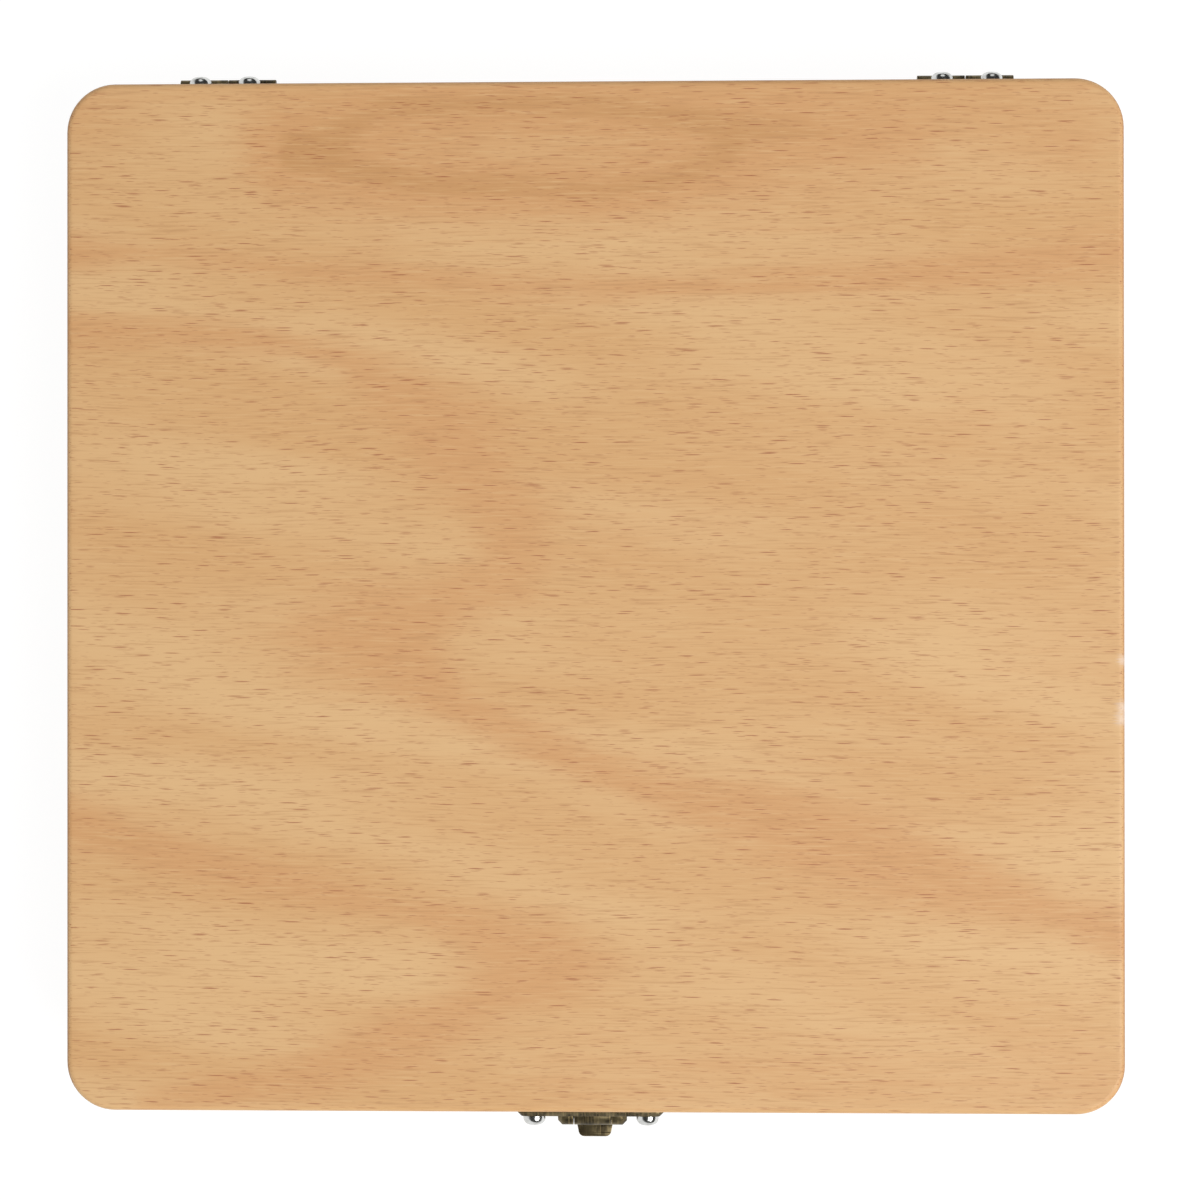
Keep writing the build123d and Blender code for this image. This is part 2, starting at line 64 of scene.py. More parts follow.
log = logging.getLogger("paint_box")
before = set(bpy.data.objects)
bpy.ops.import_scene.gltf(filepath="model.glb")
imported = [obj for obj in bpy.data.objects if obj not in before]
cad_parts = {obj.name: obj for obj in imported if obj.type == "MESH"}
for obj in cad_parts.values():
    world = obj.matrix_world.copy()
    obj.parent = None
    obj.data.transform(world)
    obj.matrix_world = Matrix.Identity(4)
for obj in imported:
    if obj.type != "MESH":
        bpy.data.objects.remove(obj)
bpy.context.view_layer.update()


class Grain(Enum):
    """The way that the wood's fibres run, as a turn about Z in degrees from the X axis."""

    ALONG_X = 0.0
    ALONG_Y = 90.0


def linear(code: str) -> Quad:
    """Turns a colour as written for a screen to the linear colour that shaders take.

    Args:
        code: the sRGB colour as six hex digits.

    Returns:
        Linear red, green and blue, with an alpha of 1.
    """
    parts = [int(code[i : i + 2], 16) / 255 for i in (0, 2, 4)]
    red, green, blue = (p / 12.92 if p <= 0.04045 else ((p + 0.055) / 1.055) ** 2.4 for p in parts)
    return red, green, blue, 1.0


def per_size(*lengths: float) -> tuple[float, ...]:
    """Turns real pattern sizes in millimetres to the scales that a texture takes."""
    return tuple(1 / (length * MM) for length in lengths)


def add_node(
    tree: bpy.types.NodeTree, kind: str, inputs: dict | None = None, **settings: object
) -> bpy.types.Node:
    """Adds one node with its settings, constants and links.

    Args:
        tree: the node tree that gets the node.
        kind: Blender's name for the node, without its ShaderNode.
        inputs: what each input socket gets, by its name or number: a number, a vector, a hex
            colour, a socket to link from, or a node, which is linked from its first live output.
        settings: the node's own properties.

    Returns:
        The new node.
    """
    node = tree.nodes.new(f"ShaderNode{kind}")
    for key, value in settings.items():
        setattr(node, key, value)
    for key, value in (inputs or {}).items():
        if isinstance(value, bpy.types.Node):
            value = next(socket for socket in value.outputs if socket.enabled)
        if isinstance(value, bpy.types.NodeSocket):
            tree.links.new(value, node.inputs[key])
        else:
            node.inputs[key].default_value = linear(value) if isinstance(value, str) else value
    return node


def polish_mesh(shape: bmesh.types.BMesh) -> None:
    """Merges doubled corners and points every face of a closed shape outwards."""
    bmesh.ops.remove_doubles(shape, verts=shape.verts, dist=WELD)
    bmesh.ops.recalc_face_normals(shape, faces=shape.faces)


def round_edges(
    shape: bmesh.types.BMesh, chosen: Callable[[bmesh.types.BMEdge], bool], radius: float, steps: int
) -> None:
    """Rounds the edges that a test picks.

    Args:
        shape: the mesh to change.
        chosen: says which edges are rounded.
        radius: the size of the rounding in metres.
        steps: how many faces run across it.
    """
    edges = [edge for edge in shape.edges if chosen(edge)]
    bmesh.ops.bevel(
        shape,
        geom=edges,
        offset=radius,
        offset_type="OFFSET",
        segments=steps,
        profile=0.5,
        affect="EDGES",
        material=-1,
        clamp_overlap=True,
    )


def is_upright(edge: bmesh.types.BMEdge) -> bool:
    """Says whether an edge rises along Z."""
    run = edge.verts[1].co - edge.verts[0].co
    return abs(run.z) > UPRIGHT * run.length


def is_at_height(height: float) -> Callable[[bmesh.types.BMEdge], bool]:
    """Returns a test for edges that lie in the level plane at a height in metres."""
    return lambda edge: all(abs(v.co.z - height) < NEAR for v in edge.verts)


def is_sharp(angle: float) -> Callable[[bmesh.types.BMEdge], bool]:
    """Returns a test for edges whose two faces turn by more than an angle in degrees."""
    limit = math.radians(angle)
    return lambda edge: len(edge.link_faces) == 2 and edge.calc_face_angle() > limit


def block(low: Vector, high: Vector) -> bmesh.types.BMesh:
    """Makes a box, as the start of a shaped piece.

    Args:
        low: its lowest corner in metres.
        high: its highest corner.

    Returns:
        The box in place.
    """
    shape = bmesh.new()
    bmesh.ops.create_cube(shape, size=1)
    bmesh.ops.scale(shape, vec=high - low, verts=shape.verts)
    bmesh.ops.translate(shape, vec=(low + high) / 2, verts=shape.verts)
    return shape


def top_face(shape: bmesh.types.BMesh) -> bmesh.types.BMFace:
    """Returns the face that lies highest."""
    return max(shape.faces, key=lambda face: face.calc_center_median().z)


def draw_in(
    shape: bmesh.types.BMesh,
    moved: list[bmesh.types.BMVert],
    low: Vector,
    high: Vector,
    inward: float,
) -> None:
    """Draws points in by the same length from each side of a box, which tapers a piece.

    Args:
        shape: the mesh to change.
        moved: the points that move.
        low: the lowest corner of the box in metres.
        high: its highest corner.
        inward: how far each side moves in, in metres.
    """
    centre = (low + high) / 2
    shrink = Vector((1 - 2 * inward / (high.x - low.x), 1 - 2 * inward / (high.y - low.y), 1))
    bmesh.ops.scale(shape, vec=shrink, verts=moved, space=Matrix.Translation(-centre))


def slice_across(shape: bmesh.types.BMesh, geometry: list, axis: int, where: Vector) -> None:
    """Cuts faces in two along a plane.

    Args:
        shape: the mesh to change.
        geometry: its corners, edges and faces that may be cut.
        axis: the axis that the plane is square to, 0 for X and 1 for Y.
        where: a point on the plane in metres.
    """
    facing = Vector((0, 0, 0))
    facing[axis] = 1
    bmesh.ops.bisect_plane(shape, geom=geometry, dist=WELD, plane_co=where, plane_no=facing)


def turned(outline: list[Pair], steps: int) -> bmesh.types.BMesh:
    """Turns an outline about Z, as on a lathe.

    Args:
        outline: radius and height pairs in millimetres, from one pole to the other.
        steps: how many faces go round.

    Returns:
        The closed turned shape.
    """
    shape = bmesh.new()
    corners = [shape.verts.new((r * MM, 0, z * MM)) for r, z in outline]
    edges = [shape.edges.new(pair) for pair in zip(corners, corners[1:])]
    bmesh.ops.spin(
        shape,
        geom=corners + edges,
        axis=(0, 0, 1),
        cent=(0, 0, 0),
        angle=math.tau,
        steps=steps,
        use_merge=True,
    )
    polish_mesh(shape)
    return shape


def carve(body: bmesh.types.BMesh, cutter: bmesh.types.BMesh) -> bmesh.types.BMesh:
    """Cuts one closed shape out of another.

    Args:
        body: the shape that is cut; it is used up.
        cutter: the shape that is taken away; it is used up.

    Returns:
        The cut shape.
    """
    helpers = []
    for shape in (body, cutter):
        mesh = bpy.data.meshes.new("carving")
        shape.to_mesh(mesh)
        shape.free()
        helpers.append(bpy.data.objects.new("carving", mesh))
        bpy.context.scene.collection.objects.link(helpers[-1])
    cut = helpers[0].modifiers.new("cut", "BOOLEAN")
    cut.operation = "DIFFERENCE"
    cut.solver = "EXACT"
    cut.object = helpers[1]
    made = helpers[0].evaluated_get(bpy.context.evaluated_depsgraph_get()).to_mesh()
    result = bmesh.new()
    result.from_mesh(made)
    for helper in helpers:
        mesh = helper.data
        bpy.data.objects.remove(helper)
        bpy.data.meshes.remove(mesh)
    return result


def join_in(shape: bmesh.types.BMesh, part: bmesh.types.BMesh, place: Matrix) -> None:
    """Adds a placed copy of one shape to another.

    Args:
        shape: the mesh that grows.
        part: the mesh that is copied in.
        place: where the copy goes.
    """
    mesh = bpy.data.meshes.new("copy")
    part.to_mesh(mesh)
    mesh.transform(place)
    shape.from_mesh(mesh)
    bpy.data.meshes.remove(mesh)


@dataclass(frozen=True)
class Finish:
    """A real material and the way that its surface was made.

    Its pattern sizes are in millimetres. The patterns are drawn from noise that lies about 0.5,
    and a range in paint() says from which level of the noise to which a pattern comes in.
    """

    name: str

    def material(self) -> bpy.types.Material:
        """Makes this finish's material, or finds it again.

        Returns:
            The material, whose nodes paint() has built.
        """
        found = bpy.data.materials.get(self.name)
        if found:
            return found
        made = bpy.data.materials.new(self.name)
        made.use_nodes = True
        made.node_tree.nodes.clear()
        shader = add_node(made.node_tree, "BsdfPrincipled")
        add_node(made.node_tree, "OutputMaterial", {0: shader})
        self.paint(made.node_tree, shader)
        return made

    def paint(self, tree: bpy.types.NodeTree, shader: bpy.types.Node) -> None:
        """Builds the pattern and links it to the shader."""
        raise NotImplementedError

    def drawn_noise(
        self,
        tree: bpy.types.NodeTree,
        place: bpy.types.NodeSocket | bpy.types.Node,
        sizes: Triple,
        detail: float,
    ) -> bpy.types.Node:
        """Adds noise with its own size along each axis.

        Args:
            tree: the node tree.
            place: where the pattern is read.
            sizes: the pattern's size along X, Y and Z in millimetres.
            detail: how many finer layers it has.

        Returns:
            The noise, from 0 to 1 about 0.5.
        """
        drawn = add_node(tree, "Mapping", {0: place, "Scale": per_size(*sizes)})
        return add_node(tree, "TexNoise", {0: drawn, "Scale": 1.0, "Detail": detail})

    def link_surface(
        self,
        tree: bpy.types.NodeTree,
        shader: bpy.types.Node,
        colour: bpy.types.Node,
        roughness: bpy.types.Node,
        relief: bpy.types.Node,
        height: float,
    ) -> None:
        """Links a finished pattern to the shader.

        Args:
            tree: the node tree.
            shader: the shader.
            colour: the surface's colour.
            roughness: its roughness.
            relief: its height pattern, from 0 to 1.
            height: what a relief of 1 stands for, in millimetres.
        """
        bump = add_node(tree, "Bump", {"Height": relief, "Strength": 1.0, "Distance": height * MM})
        for name, source in (("Base Color", colour), ("Roughness", roughness), ("Normal", bump)):
            live = next(socket for socket in source.outputs if socket.enabled)
            tree.links.new(live, shader.inputs[name])


@dataclass(frozen=True)
class OiledBeech(Finish):
    """Steamed beech, planed, fine sanded and oiled.

    The eye sees a warm tan with soft brown growth bands that feather out along the fibres,
    short red brown ray flecks, fine streaks and darker end grain, under a satin sheen.
    """

    grain: Grain
    banded: bool = False
    plain: str = "DBAB74"
    pale: str = "E3B984"
    band: str = "D8A36D"
    deep_band: str = "CE9962"
    streak: str = "C08E5E"
    fleck: str = "9C4A2C"
    end_grain: str = "B98453"
    rubbed: str = "EFDAC8"
    # Beech fibres are about 0.02 mm wide. The finest streaks are drawn at 0.32 mm, the least that
    # shows from this far. Sizes run along the fibres first and then in the two ways across them.
    fibre_size: Triple = (7.0, 0.32, 0.32)
    streak_size: Triple = (26.0, 1.5, 1.5)
    cloud_size: Triple = (60.0, 20.0, 20.0)
    wave_size: Triple = (120.0, 13.0, 13.0)
    end_pore: float = 0.45
    feather: float = 0.7
    band_start: float = 0.38
    band_full: float = 1.35
    deep_full: float = 1.95
    swing: float = 1.6
    swing_length: float = 55.0
    slide: Triple = (1.0, 2.3, 1.7)
    # Each size of ray fleck has a spacing along and across the fibres, a rarity and a strength.
    flecks: tuple[Quad, ...] = (
        (7.2, 0.42, 0.08, 0.68),
        (4.8, 0.31, 0.03, 0.54),
        (3.0, 0.25, 0.02, 0.42),
    )
    # The largest fleck reaches this share of its spacing, and its core this share of that.
    fleck_reach: float = 0.3
    fleck_core: float = 0.45
    # End grain comes in between these cosines of the angle from a face's normal to the fibres.
    end_range: Pair = (0.55, 0.95)
    end_strength: float = 0.75
    # Each rubbed spot has a place and a reach. The fibres fray its edge, which lies at its reach
    # times their noise times scuff_fray.
    scuffs: tuple[Quad, ...] = ()
    scuff_fray: float = 1.6
    scuff_strength: float = 0.65

    def fibre_place(
        self, tree: bpy.types.NodeTree, place: bpy.types.NodeSocket
    ) -> bpy.types.Node:
        """Lays the pattern along the fibres, which swing gently across the board.

        The place along the fibres also slides with the place across them, so that no two rows
        of the pattern start in line.

        Args:
            tree: the node tree.
            place: the place on the piece.

        Returns:
            The place along the fibres and in the two ways across them.
        """
        turn = (0.0, 0.0, -math.radians(self.grain.value))
        laid = add_node(tree, "Mapping", {0: place, "Rotation": turn})
        scale = per_size(self.swing_length)[0]
        drift = add_node(tree, "TexNoise", {0: laid, "Scale": scale, "Detail": 1.0})
        reach = (0.0, self.swing * MM, self.swing * MM)
        swung = add_node(
            tree, "VectorMath", {0: drift.outputs[1], 1: reach, 2: laid}, operation="MULTIPLY_ADD"
        )
        along = add_node(tree, "VectorMath", {0: swung, 1: self.slide}, operation="DOT_PRODUCT")
        across = add_node(tree, "SeparateXYZ", {0: swung})
        return add_node(tree, "CombineXYZ", {0: along, 1: across.outputs[1], 2: across.outputs[2]})

    def ray_flecks(
        self, tree: bpy.types.NodeTree, laid: bpy.types.Node, size: Triple
    ) -> bpy.types.Node:
        """Adds one size of spindle-shaped ray flecks.

        Args:
            tree: the node tree.
            laid: the place along and across the fibres.
            size: the spacing along and across the fibres, and how rare a fleck is.

        Returns:
            The pattern, which is 1 inside a fleck.
        """
        along, across, rarity = size
        drawn = add_node(tree, "Mapping", {0: laid, "Scale": per_size(along, across, across)})
        cells = add_node(tree, "TexVoronoi", {"Vector": drawn, "Scale": 1.0})
        draw = add_node(tree, "SeparateColor", {0: cells.outputs["Color"]})
        reach = add_node(tree, "MapRange", {0: draw, 1: rarity, 4: self.fleck_reach}, **SMOOTH)
        core = add_node(tree, "Math", {0: reach, 1: self.fleck_core}, operation="MULTIPLY")
        return add_node(tree, "MapRange", {0: cells, 1: reach, 2: core}, **SMOOTH)

    def end_share(self, tree: bpy.types.NodeTree) -> bpy.types.Node:
        """Finds the faces that cut across the fibres.

        Args:
            tree: the node tree.

        Returns:
            A pattern that is 1 on end grain.
        """
        facing = add_node(tree, "TexCoord").outputs["Normal"]
        turn = (0.0, 0.0, -math.radians(self.grain.value))
        turned_normal = add_node(tree, "Mapping", {0: facing, "Rotation": turn})
        ends = add_node(tree, "SeparateXYZ", {0: turned_normal})
        size = add_node(tree, "Math", {0: ends}, operation="ABSOLUTE")
        start, full = self.end_range
        cut_across = {0: size, 1: start, 2: full, 4: self.end_strength}
        return add_node(tree, "MapRange", cut_across, **SMOOTH)

    def paint(self, tree: bpy.types.NodeTree, shader: bpy.types.Node) -> None:
        """Builds growth bands, streaks, ray flecks, end grain and rubbed spots.

        Args:
            tree: the node tree.
            shader: the shader that gets the result.
        """
        place = add_node(tree, "TexCoord").outputs["Object"]
        laid = self.fibre_place(tree, place)
        fibres = self.drawn_noise(tree, laid, self.fibre_size, detail=3.0)
        streaks = self.drawn_noise(tree, laid, self.streak_size, detail=3.0)
        clouds = self.drawn_noise(tree, laid, self.cloud_size, detail=1.0)
        tone = add_node(tree, "MapRange", {0: clouds, 1: 0.3, 2: 0.7}, **SMOOTH)
        colour = add_node(tree, "Mix", {0: tone, 6: self.plain, 7: self.pale}, **TINT)
        if self.banded:
            # On the lid top these bands also carry painted shade near the board's edges.
            banding = add_node(tree, "Attribute", attribute_name="figure_and_shade_band").outputs["Fac"]
        else:
            waves = self.drawn_noise(tree, laid, self.wave_size, detail=1.0)
            banding = add_node(tree, "MapRange", {0: waves, 1: 0.52, 2: 0.72, 4: 0.6}, **SMOOTH)
        edged = {0: streaks, 1: self.feather, 2: banding}
        feathered = add_node(tree, "Math", edged, operation="MULTIPLY_ADD")
        soft = {0: feathered, 1: self.band_start, 2: self.band_full}
        band_share = add_node(tree, "MapRange", soft, **SMOOTH)
        colour = add_node(tree, "Mix", {0: band_share, 6: colour, 7: self.band}, **TINT)
        strong = {0: feathered, 1: self.band_full, 2: self.deep_full}
        deep = add_node(tree, "MapRange", strong, **SMOOTH)
        colour = add_node(tree, "Mix", {0: deep, 6: colour, 7: self.deep_band}, **TINT)
        light = add_node(tree, "MapRange", {0: fibres, 1: 0.5, 2: 0.25, 4: 0.6}, **SMOOTH)
        colour = add_node(tree, "Mix", {0: light, 6: colour, 7: self.pale}, **TINT)
        dark = add_node(tree, "MapRange", {0: fibres, 1: 0.5, 2: 0.75, 4: 0.55}, **SMOOTH)
        colour = add_node(tree, "Mix", {0: dark, 6: colour, 7: self.streak}, **TINT)
        for *size, strength in self.flecks:
            marks = self.ray_flecks(tree, laid, size)
            shown = add_node(tree, "Math", {0: marks, 1: strength}, operation="MULTIPLY")
            colour = add_node(tree, "Mix", {0: shown, 6: colour, 7: self.fleck}, **TINT)
        scale = per_size(self.end_pore)[0]
        pores = add_node(tree, "TexNoise", {0: place, "Scale": scale, "Detail": 2.0})
        pore_share = add_node(tree, "MapRange", {0: pores, 1: 0.4, 2: 0.65, 4: 0.6}, **SMOOTH)
        end_colour = add_node(tree, "Mix", {0: pore_share, 6: self.end_grain, 7: self.fleck}, **TINT)
        ends = self.end_share(tree)
        colour = add_node(tree, "Mix", {0: ends, 6: colour, 7: end_colour}, **TINT)
        for *spot, reach in self.scuffs:
            off = add_node(
                tree, "VectorMath", {0: place, 1: Vector(spot) * MM}, operation="DISTANCE"
            )
            frayed = {0: fibres, 1: self.scuff_fray * reach * MM}
            edge = add_node(tree, "Math", frayed, operation="MULTIPLY")
            inside = {0: off, 1: edge, 2: 0.0, 4: self.scuff_strength}
            rub = add_node(tree, "MapRange", inside, **SMOOTH)
            colour = add_node(tree, "Mix", {0: rub, 6: colour, 7: self.rubbed}, **TINT)
        satin = add_node(tree, "MapRange", {0: fibres, 1: 0.2, 2: 0.8, 3: 0.48, 4: 0.58}, **SMOOTH)
        self.link_surface(tree, shader, colour, satin, fibres, height=0.01)


@dataclass(frozen=True)
class AntiquedBrass(Finish):
    """Stamped brass sheet, chemically darkened and rubbed back.

    The eye sees a dull olive bronze with blotches of patina, faint polishing lines and
    brighter brass on the edges.
    """

    patina: str = "3B3426"
    bronze: str = "6E6349"
    bright: str = "A8946A"
    # The polishing lines are a few hundredths wide and are drawn at 0.3 mm, so that they show.
    blotch: float = 2.4
    speck: float = 0.35
    line_size: Triple = (0.3, 6.0, 6.0)
    # Hands rub an edge this far in. The wear starts and is full where the rounded surface leans
    # off the real one by these cosines.
    wear: float = 0.28
    wear_start: float = 0.998
    wear_full: float = 0.93

    def worn_edges(self, tree: bpy.types.NodeTree) -> bpy.types.Node:
        """Finds the edges that hands have rubbed.

        Args:
            tree: the node tree.

        Returns:
            A pattern that is 1 on an edge and 0 away from it.
        """
        rounded = add_node(tree, "Bevel", {"Radius": self.wear * MM}, samples=6)
        real = add_node(tree, "NewGeometry").outputs["Normal"]
        facing = add_node(tree, "VectorMath", {0: rounded, 1: real}, operation="DOT_PRODUCT")
        lean = {0: facing, 1: self.wear_start, 2: self.wear_full}
        return add_node(tree, "MapRange", lean, **SMOOTH)

    def paint(self, tree: bpy.types.NodeTree, shader: bpy.types.Node) -> None:
        """Builds patina blotches, polishing lines and rubbed edges.

        Args:
            tree: the node tree.
            shader: the shader that gets the result.
        """
        place = add_node(tree, "TexCoord").outputs["Object"]
        blotches = self.drawn_noise(tree, place, (self.blotch,) * 3, detail=4.0)
        specks = self.drawn_noise(tree, place, (self.speck,) * 3, detail=2.0)
        lines = self.drawn_noise(tree, place, self.line_size, detail=2.0)
        share = add_node(tree, "MapRange", {0: blotches, 1: 0.35, 2: 0.65}, **SMOOTH)
        colour = add_node(tree, "Mix", {0: share, 6: self.patina, 7: self.bronze}, **TINT)
        scraped = add_node(tree, "MapRange", {0: lines, 1: 0.45, 2: 0.75, 4: 0.4}, **SMOOTH)
        colour = add_node(tree, "Mix", {0: scraped, 6: colour, 7: self.bright}, **TINT)
        broken = add_node(tree, "MapRange", {0: specks, 1: 0.35, 2: 0.65, 3: 0.15}, **SMOOTH)
        edges = self.worn_edges(tree)
        worn = add_node(tree, "Math", {0: edges, 1: broken}, operation="MULTIPLY")
        colour = add_node(tree, "Mix", {0: worn, 6: colour, 7: self.bright}, **TINT)
        rough = add_node(tree, "MapRange", {0: blotches, 1: 0.3, 2: 0.7, 3: 0.56, 4: 0.42}, **SMOOTH)
        shader.inputs["Metallic"].default_value = 1.0
        self.link_surface(tree, shader, colour, rough, specks, height=0.008)


@dataclass(frozen=True)
class PlatedMetal(Finish):
    """Metal with a bright plated or drawn surface.

    The eye sees a cool mirror-like gloss, a little blurred by handling and fine lines.
    """

    bright: str
    dull: str
    gloss: float
    # Drawing leaves lines a few hundredths wide, which are drawn wide enough to show.
    line_width: float
    line_length: float = 6.0
    smudge: float = 1.3
    smudge_blur: float = 0.12

    def paint(self, tree: bpy.types.NodeTree, shader: bpy.types.Node) -> None:
        """Builds smudges and fine drawn lines.

        Args:
            tree: the node tree.
            shader: the shader that gets the result.
        """
        place = add_node(tree, "TexCoord").outputs["Object"]
        smudges = self.drawn_noise(tree, place, (self.smudge,) * 3, detail=3.0)
        line_size = (self.line_length, self.line_width, self.line_width)
        lines = self.drawn_noise(tree, place, line_size, detail=2.0)
        share = add_node(tree, "MapRange", {0: smudges, 1: 0.4, 2: 0.75, 4: 0.7}, **SMOOTH)
        colour = add_node(tree, "Mix", {0: share, 6: self.bright, 7: self.dull}, **TINT)
        dimmed = self.gloss + self.smudge_blur
        gloss = {0: smudges, 1: 0.3, 2: 0.75, 3: self.gloss, 4: dimmed}
        rough = add_node(tree, "MapRange", gloss, **SMOOTH)
        shader.inputs["Metallic"].default_value = 1.0
        self.link_surface(tree, shader, colour, rough, lines, height=0.003)


@dataclass(frozen=True)
class GlazedPorcelain(Finish):
    """White porcelain, pressed, glazed and fired.

    The eye sees a thick glossy glaze with faint waves and a hint of warm grey in the hollows.
    """

    glaze: str = "ECEAE3"
    shadowed: str = "E2E0D8"
    wave: float = 7.0
    pit: float = 0.8

    def paint(self, tree: bpy.types.NodeTree, shader: bpy.types.Node) -> None:
        """Builds the waves of the glaze and its tint.

        Args:
            tree: the node tree.
            shader: the shader that gets the result.
        """
        place = add_node(tree, "TexCoord").outputs["Object"]
        waves = self.drawn_noise(tree, place, (self.wave,) * 3, detail=2.0)
        pits = self.drawn_noise(tree, place, (self.pit,) * 3, detail=1.0)
        share = add_node(tree, "MapRange", {0: waves, 1: 0.35, 2: 0.8, 4: 0.3}, **SMOOTH)
        colour = add_node(tree, "Mix", {0: share, 6: self.glaze, 7: self.shadowed}, **TINT)
        rough = add_node(tree, "MapRange", {0: pits, 1: 0.3, 2: 0.8, 3: 0.06, 4: 0.16}, **SMOOTH)
        shader.inputs["IOR"].default_value = 1.52
        self.link_surface(tree, shader, colour, rough, waves, height=0.02)


@dataclass(frozen=True)
class MouldedPlastic(Finish):
    """White polystyrene, injection moulded.

    The eye sees a clean satin white with faint flow marks and a slightly glossier rim.
    """

    white: str = "ECEBE6"
    flow: str = "E0DFD8"
    flow_size: float = 6.0
    texture: float = 0.25

    def paint(self, tree: bpy.types.NodeTree, shader: bpy.types.Node) -> None:
        """Builds flow marks and a fine mould texture.

        Args:
            tree: the node tree.
            shader: the shader that gets the result.
        """
        place = add_node(tree, "TexCoord").outputs["Object"]
        flow = self.drawn_noise(tree, place, (self.flow_size,) * 3, detail=3.0)
        spark = self.drawn_noise(tree, place, (self.texture,) * 3, detail=1.0)
        share = add_node(tree, "MapRange", {0: flow, 1: 0.4, 2: 0.8}, **SMOOTH)
        colour = add_node(tree, "Mix", {0: share, 6: self.white, 7: self.flow}, **TINT)
        rough = add_node(tree, "MapRange", {0: flow, 1: 0.3, 2: 0.8, 3: 0.28, 4: 0.42}, **SMOOTH)
        shader.inputs["IOR"].default_value = 1.59
        self.link_surface(tree, shader, colour, rough, spark, height=0.003)


@dataclass(frozen=True)
class PouredPaint(Finish):
    """Watercolour poured wet into its pan and dried.

    The eye sees deep colour with paler dried gum, fine pits and a soft uneven sheen.
    """

    colour: str
    gum: str = "D9D2C6"
    # The near-black that the pits are darkened towards: painted shade, the same for every colour.
    hollow: str = "1B1712"
    cloud: float = 4.5
    pit: float = 0.5

    def paint(self, tree: bpy.types.NodeTree, shader: bpy.types.Node) -> None:
        """Builds dried gum, pits darkened with painted shade, and an uneven sheen.

        Args:
            tree: the node tree.
            shader: the shader that gets the result.
        """
        place = add_node(tree, "TexCoord").outputs["Object"]
        clouds = self.drawn_noise(tree, place, (self.cloud,) * 3, detail=3.0)
        pits = self.drawn_noise(tree, place, (self.pit,) * 3, detail=3.0)
        dried = add_node(tree, "MapRange", {0: clouds, 1: 0.45, 2: 0.8, 4: 0.11}, **SMOOTH)
        colour = add_node(tree, "Mix", {0: dried, 6: self.colour, 7: self.gum}, **TINT)
        # painted shade: the fine pits darkened towards near-black
        deep = add_node(tree, "MapRange", {0: pits, 1: 0.55, 2: 0.75, 4: 0.35}, **SMOOTH)
        colour = add_node(tree, "Mix", {0: deep, 6: colour, 7: self.hollow}, **TINT)
        rough = add_node(tree, "MapRange", {0: clouds, 1: 0.3, 2: 0.7, 3: 0.32, 4: 0.6}, **SMOOTH)
        self.link_surface(tree, shader, colour, rough, pits, height=0.06)


@dataclass(frozen=True)
class LacqueredWood(Finish):
    """Turned hardwood, dipped in dark lacquer.

    The eye sees a deep red brown under a glossy coat, with the grain just showing through.
    """

    dark: str = "23100D"
    warm: str = "4A1E14"
    grain_size: Triple = (0.5, 22.0, 0.5)

    def paint(self, tree: bpy.types.NodeTree, shader: bpy.types.Node) -> None:
        """Builds faint grain along the handle under a clear coat.

        Args:
            tree: the node tree.
            shader: the shader that gets the result.
        """
        place = add_node(tree, "TexCoord").outputs["Object"]
        grain = self.drawn_noise(tree, place, self.grain_size, detail=3.0)
        share = add_node(tree, "MapRange", {0: grain, 1: 0.4, 2: 0.7, 4: 0.8}, **SMOOTH)
        colour = add_node(tree, "Mix", {0: share, 6: self.dark, 7: self.warm}, **TINT)
        rough = add_node(tree, "MapRange", {0: grain, 1: 0.3, 2: 0.7, 3: 0.22, 4: 0.34}, **SMOOTH)
        shader.inputs["Coat Weight"].default_value = 0.8
        shader.inputs["Coat Roughness"].default_value = 0.08
        self.link_surface(tree, shader, colour, rough, grain, height=0.004)


@dataclass(frozen=True)
class SoftHair(Finish):
    """Natural brown hair, washed and pointed.

    The eye sees fine strands from dark root to paler tip, with a soft sheen along them.
    """

    root: str = "4A2A16"
    tip: str = "93602F"
    # A hair is under 0.05 mm thick. The strands are drawn at 0.12 mm, so that they show.
    strand_size: Triple = (0.12, 6.0, 0.12)
    root_y: float = -66.0
    tip_y: float = -81.0

    def paint(self, tree: bpy.types.NodeTree, shader: bpy.types.Node) -> None:
        """Builds strand to strand variation and the fade to the tip.

        Args:
            tree: the node tree.
            shader: the shader that gets the result.
        """
        place = add_node(tree, "TexCoord").outputs["Object"]
        strands = self.drawn_noise(tree, place, self.strand_size, detail=2.0)
        along = add_node(tree, "SeparateXYZ", {0: place}).outputs[1]
        ends = {0: along, 1: self.root_y * MM, 2: self.tip_y * MM, 3: 0.15, 4: 0.85}
        fade = add_node(tree, "MapRange", ends, **SMOOTH)
        varied = add_node(tree, "MapRange", {0: strands, 1: 0.3, 2: 0.7, 3: 0.4, 4: 1.2}, **SMOOTH)
        share = add_node(tree, "Math", {0: fade, 1: varied}, operation="MULTIPLY")
        colour = add_node(tree, "Mix", {0: share, 6: self.root, 7: self.tip}, **TINT)
        rough = add_node(tree, "MapRange", {0: strands, 1: 0.3, 2: 0.7, 3: 0.38, 4: 0.55}, **SMOOTH)
        self.link_surface(tree, shader, colour, rough, strands, height=0.025)


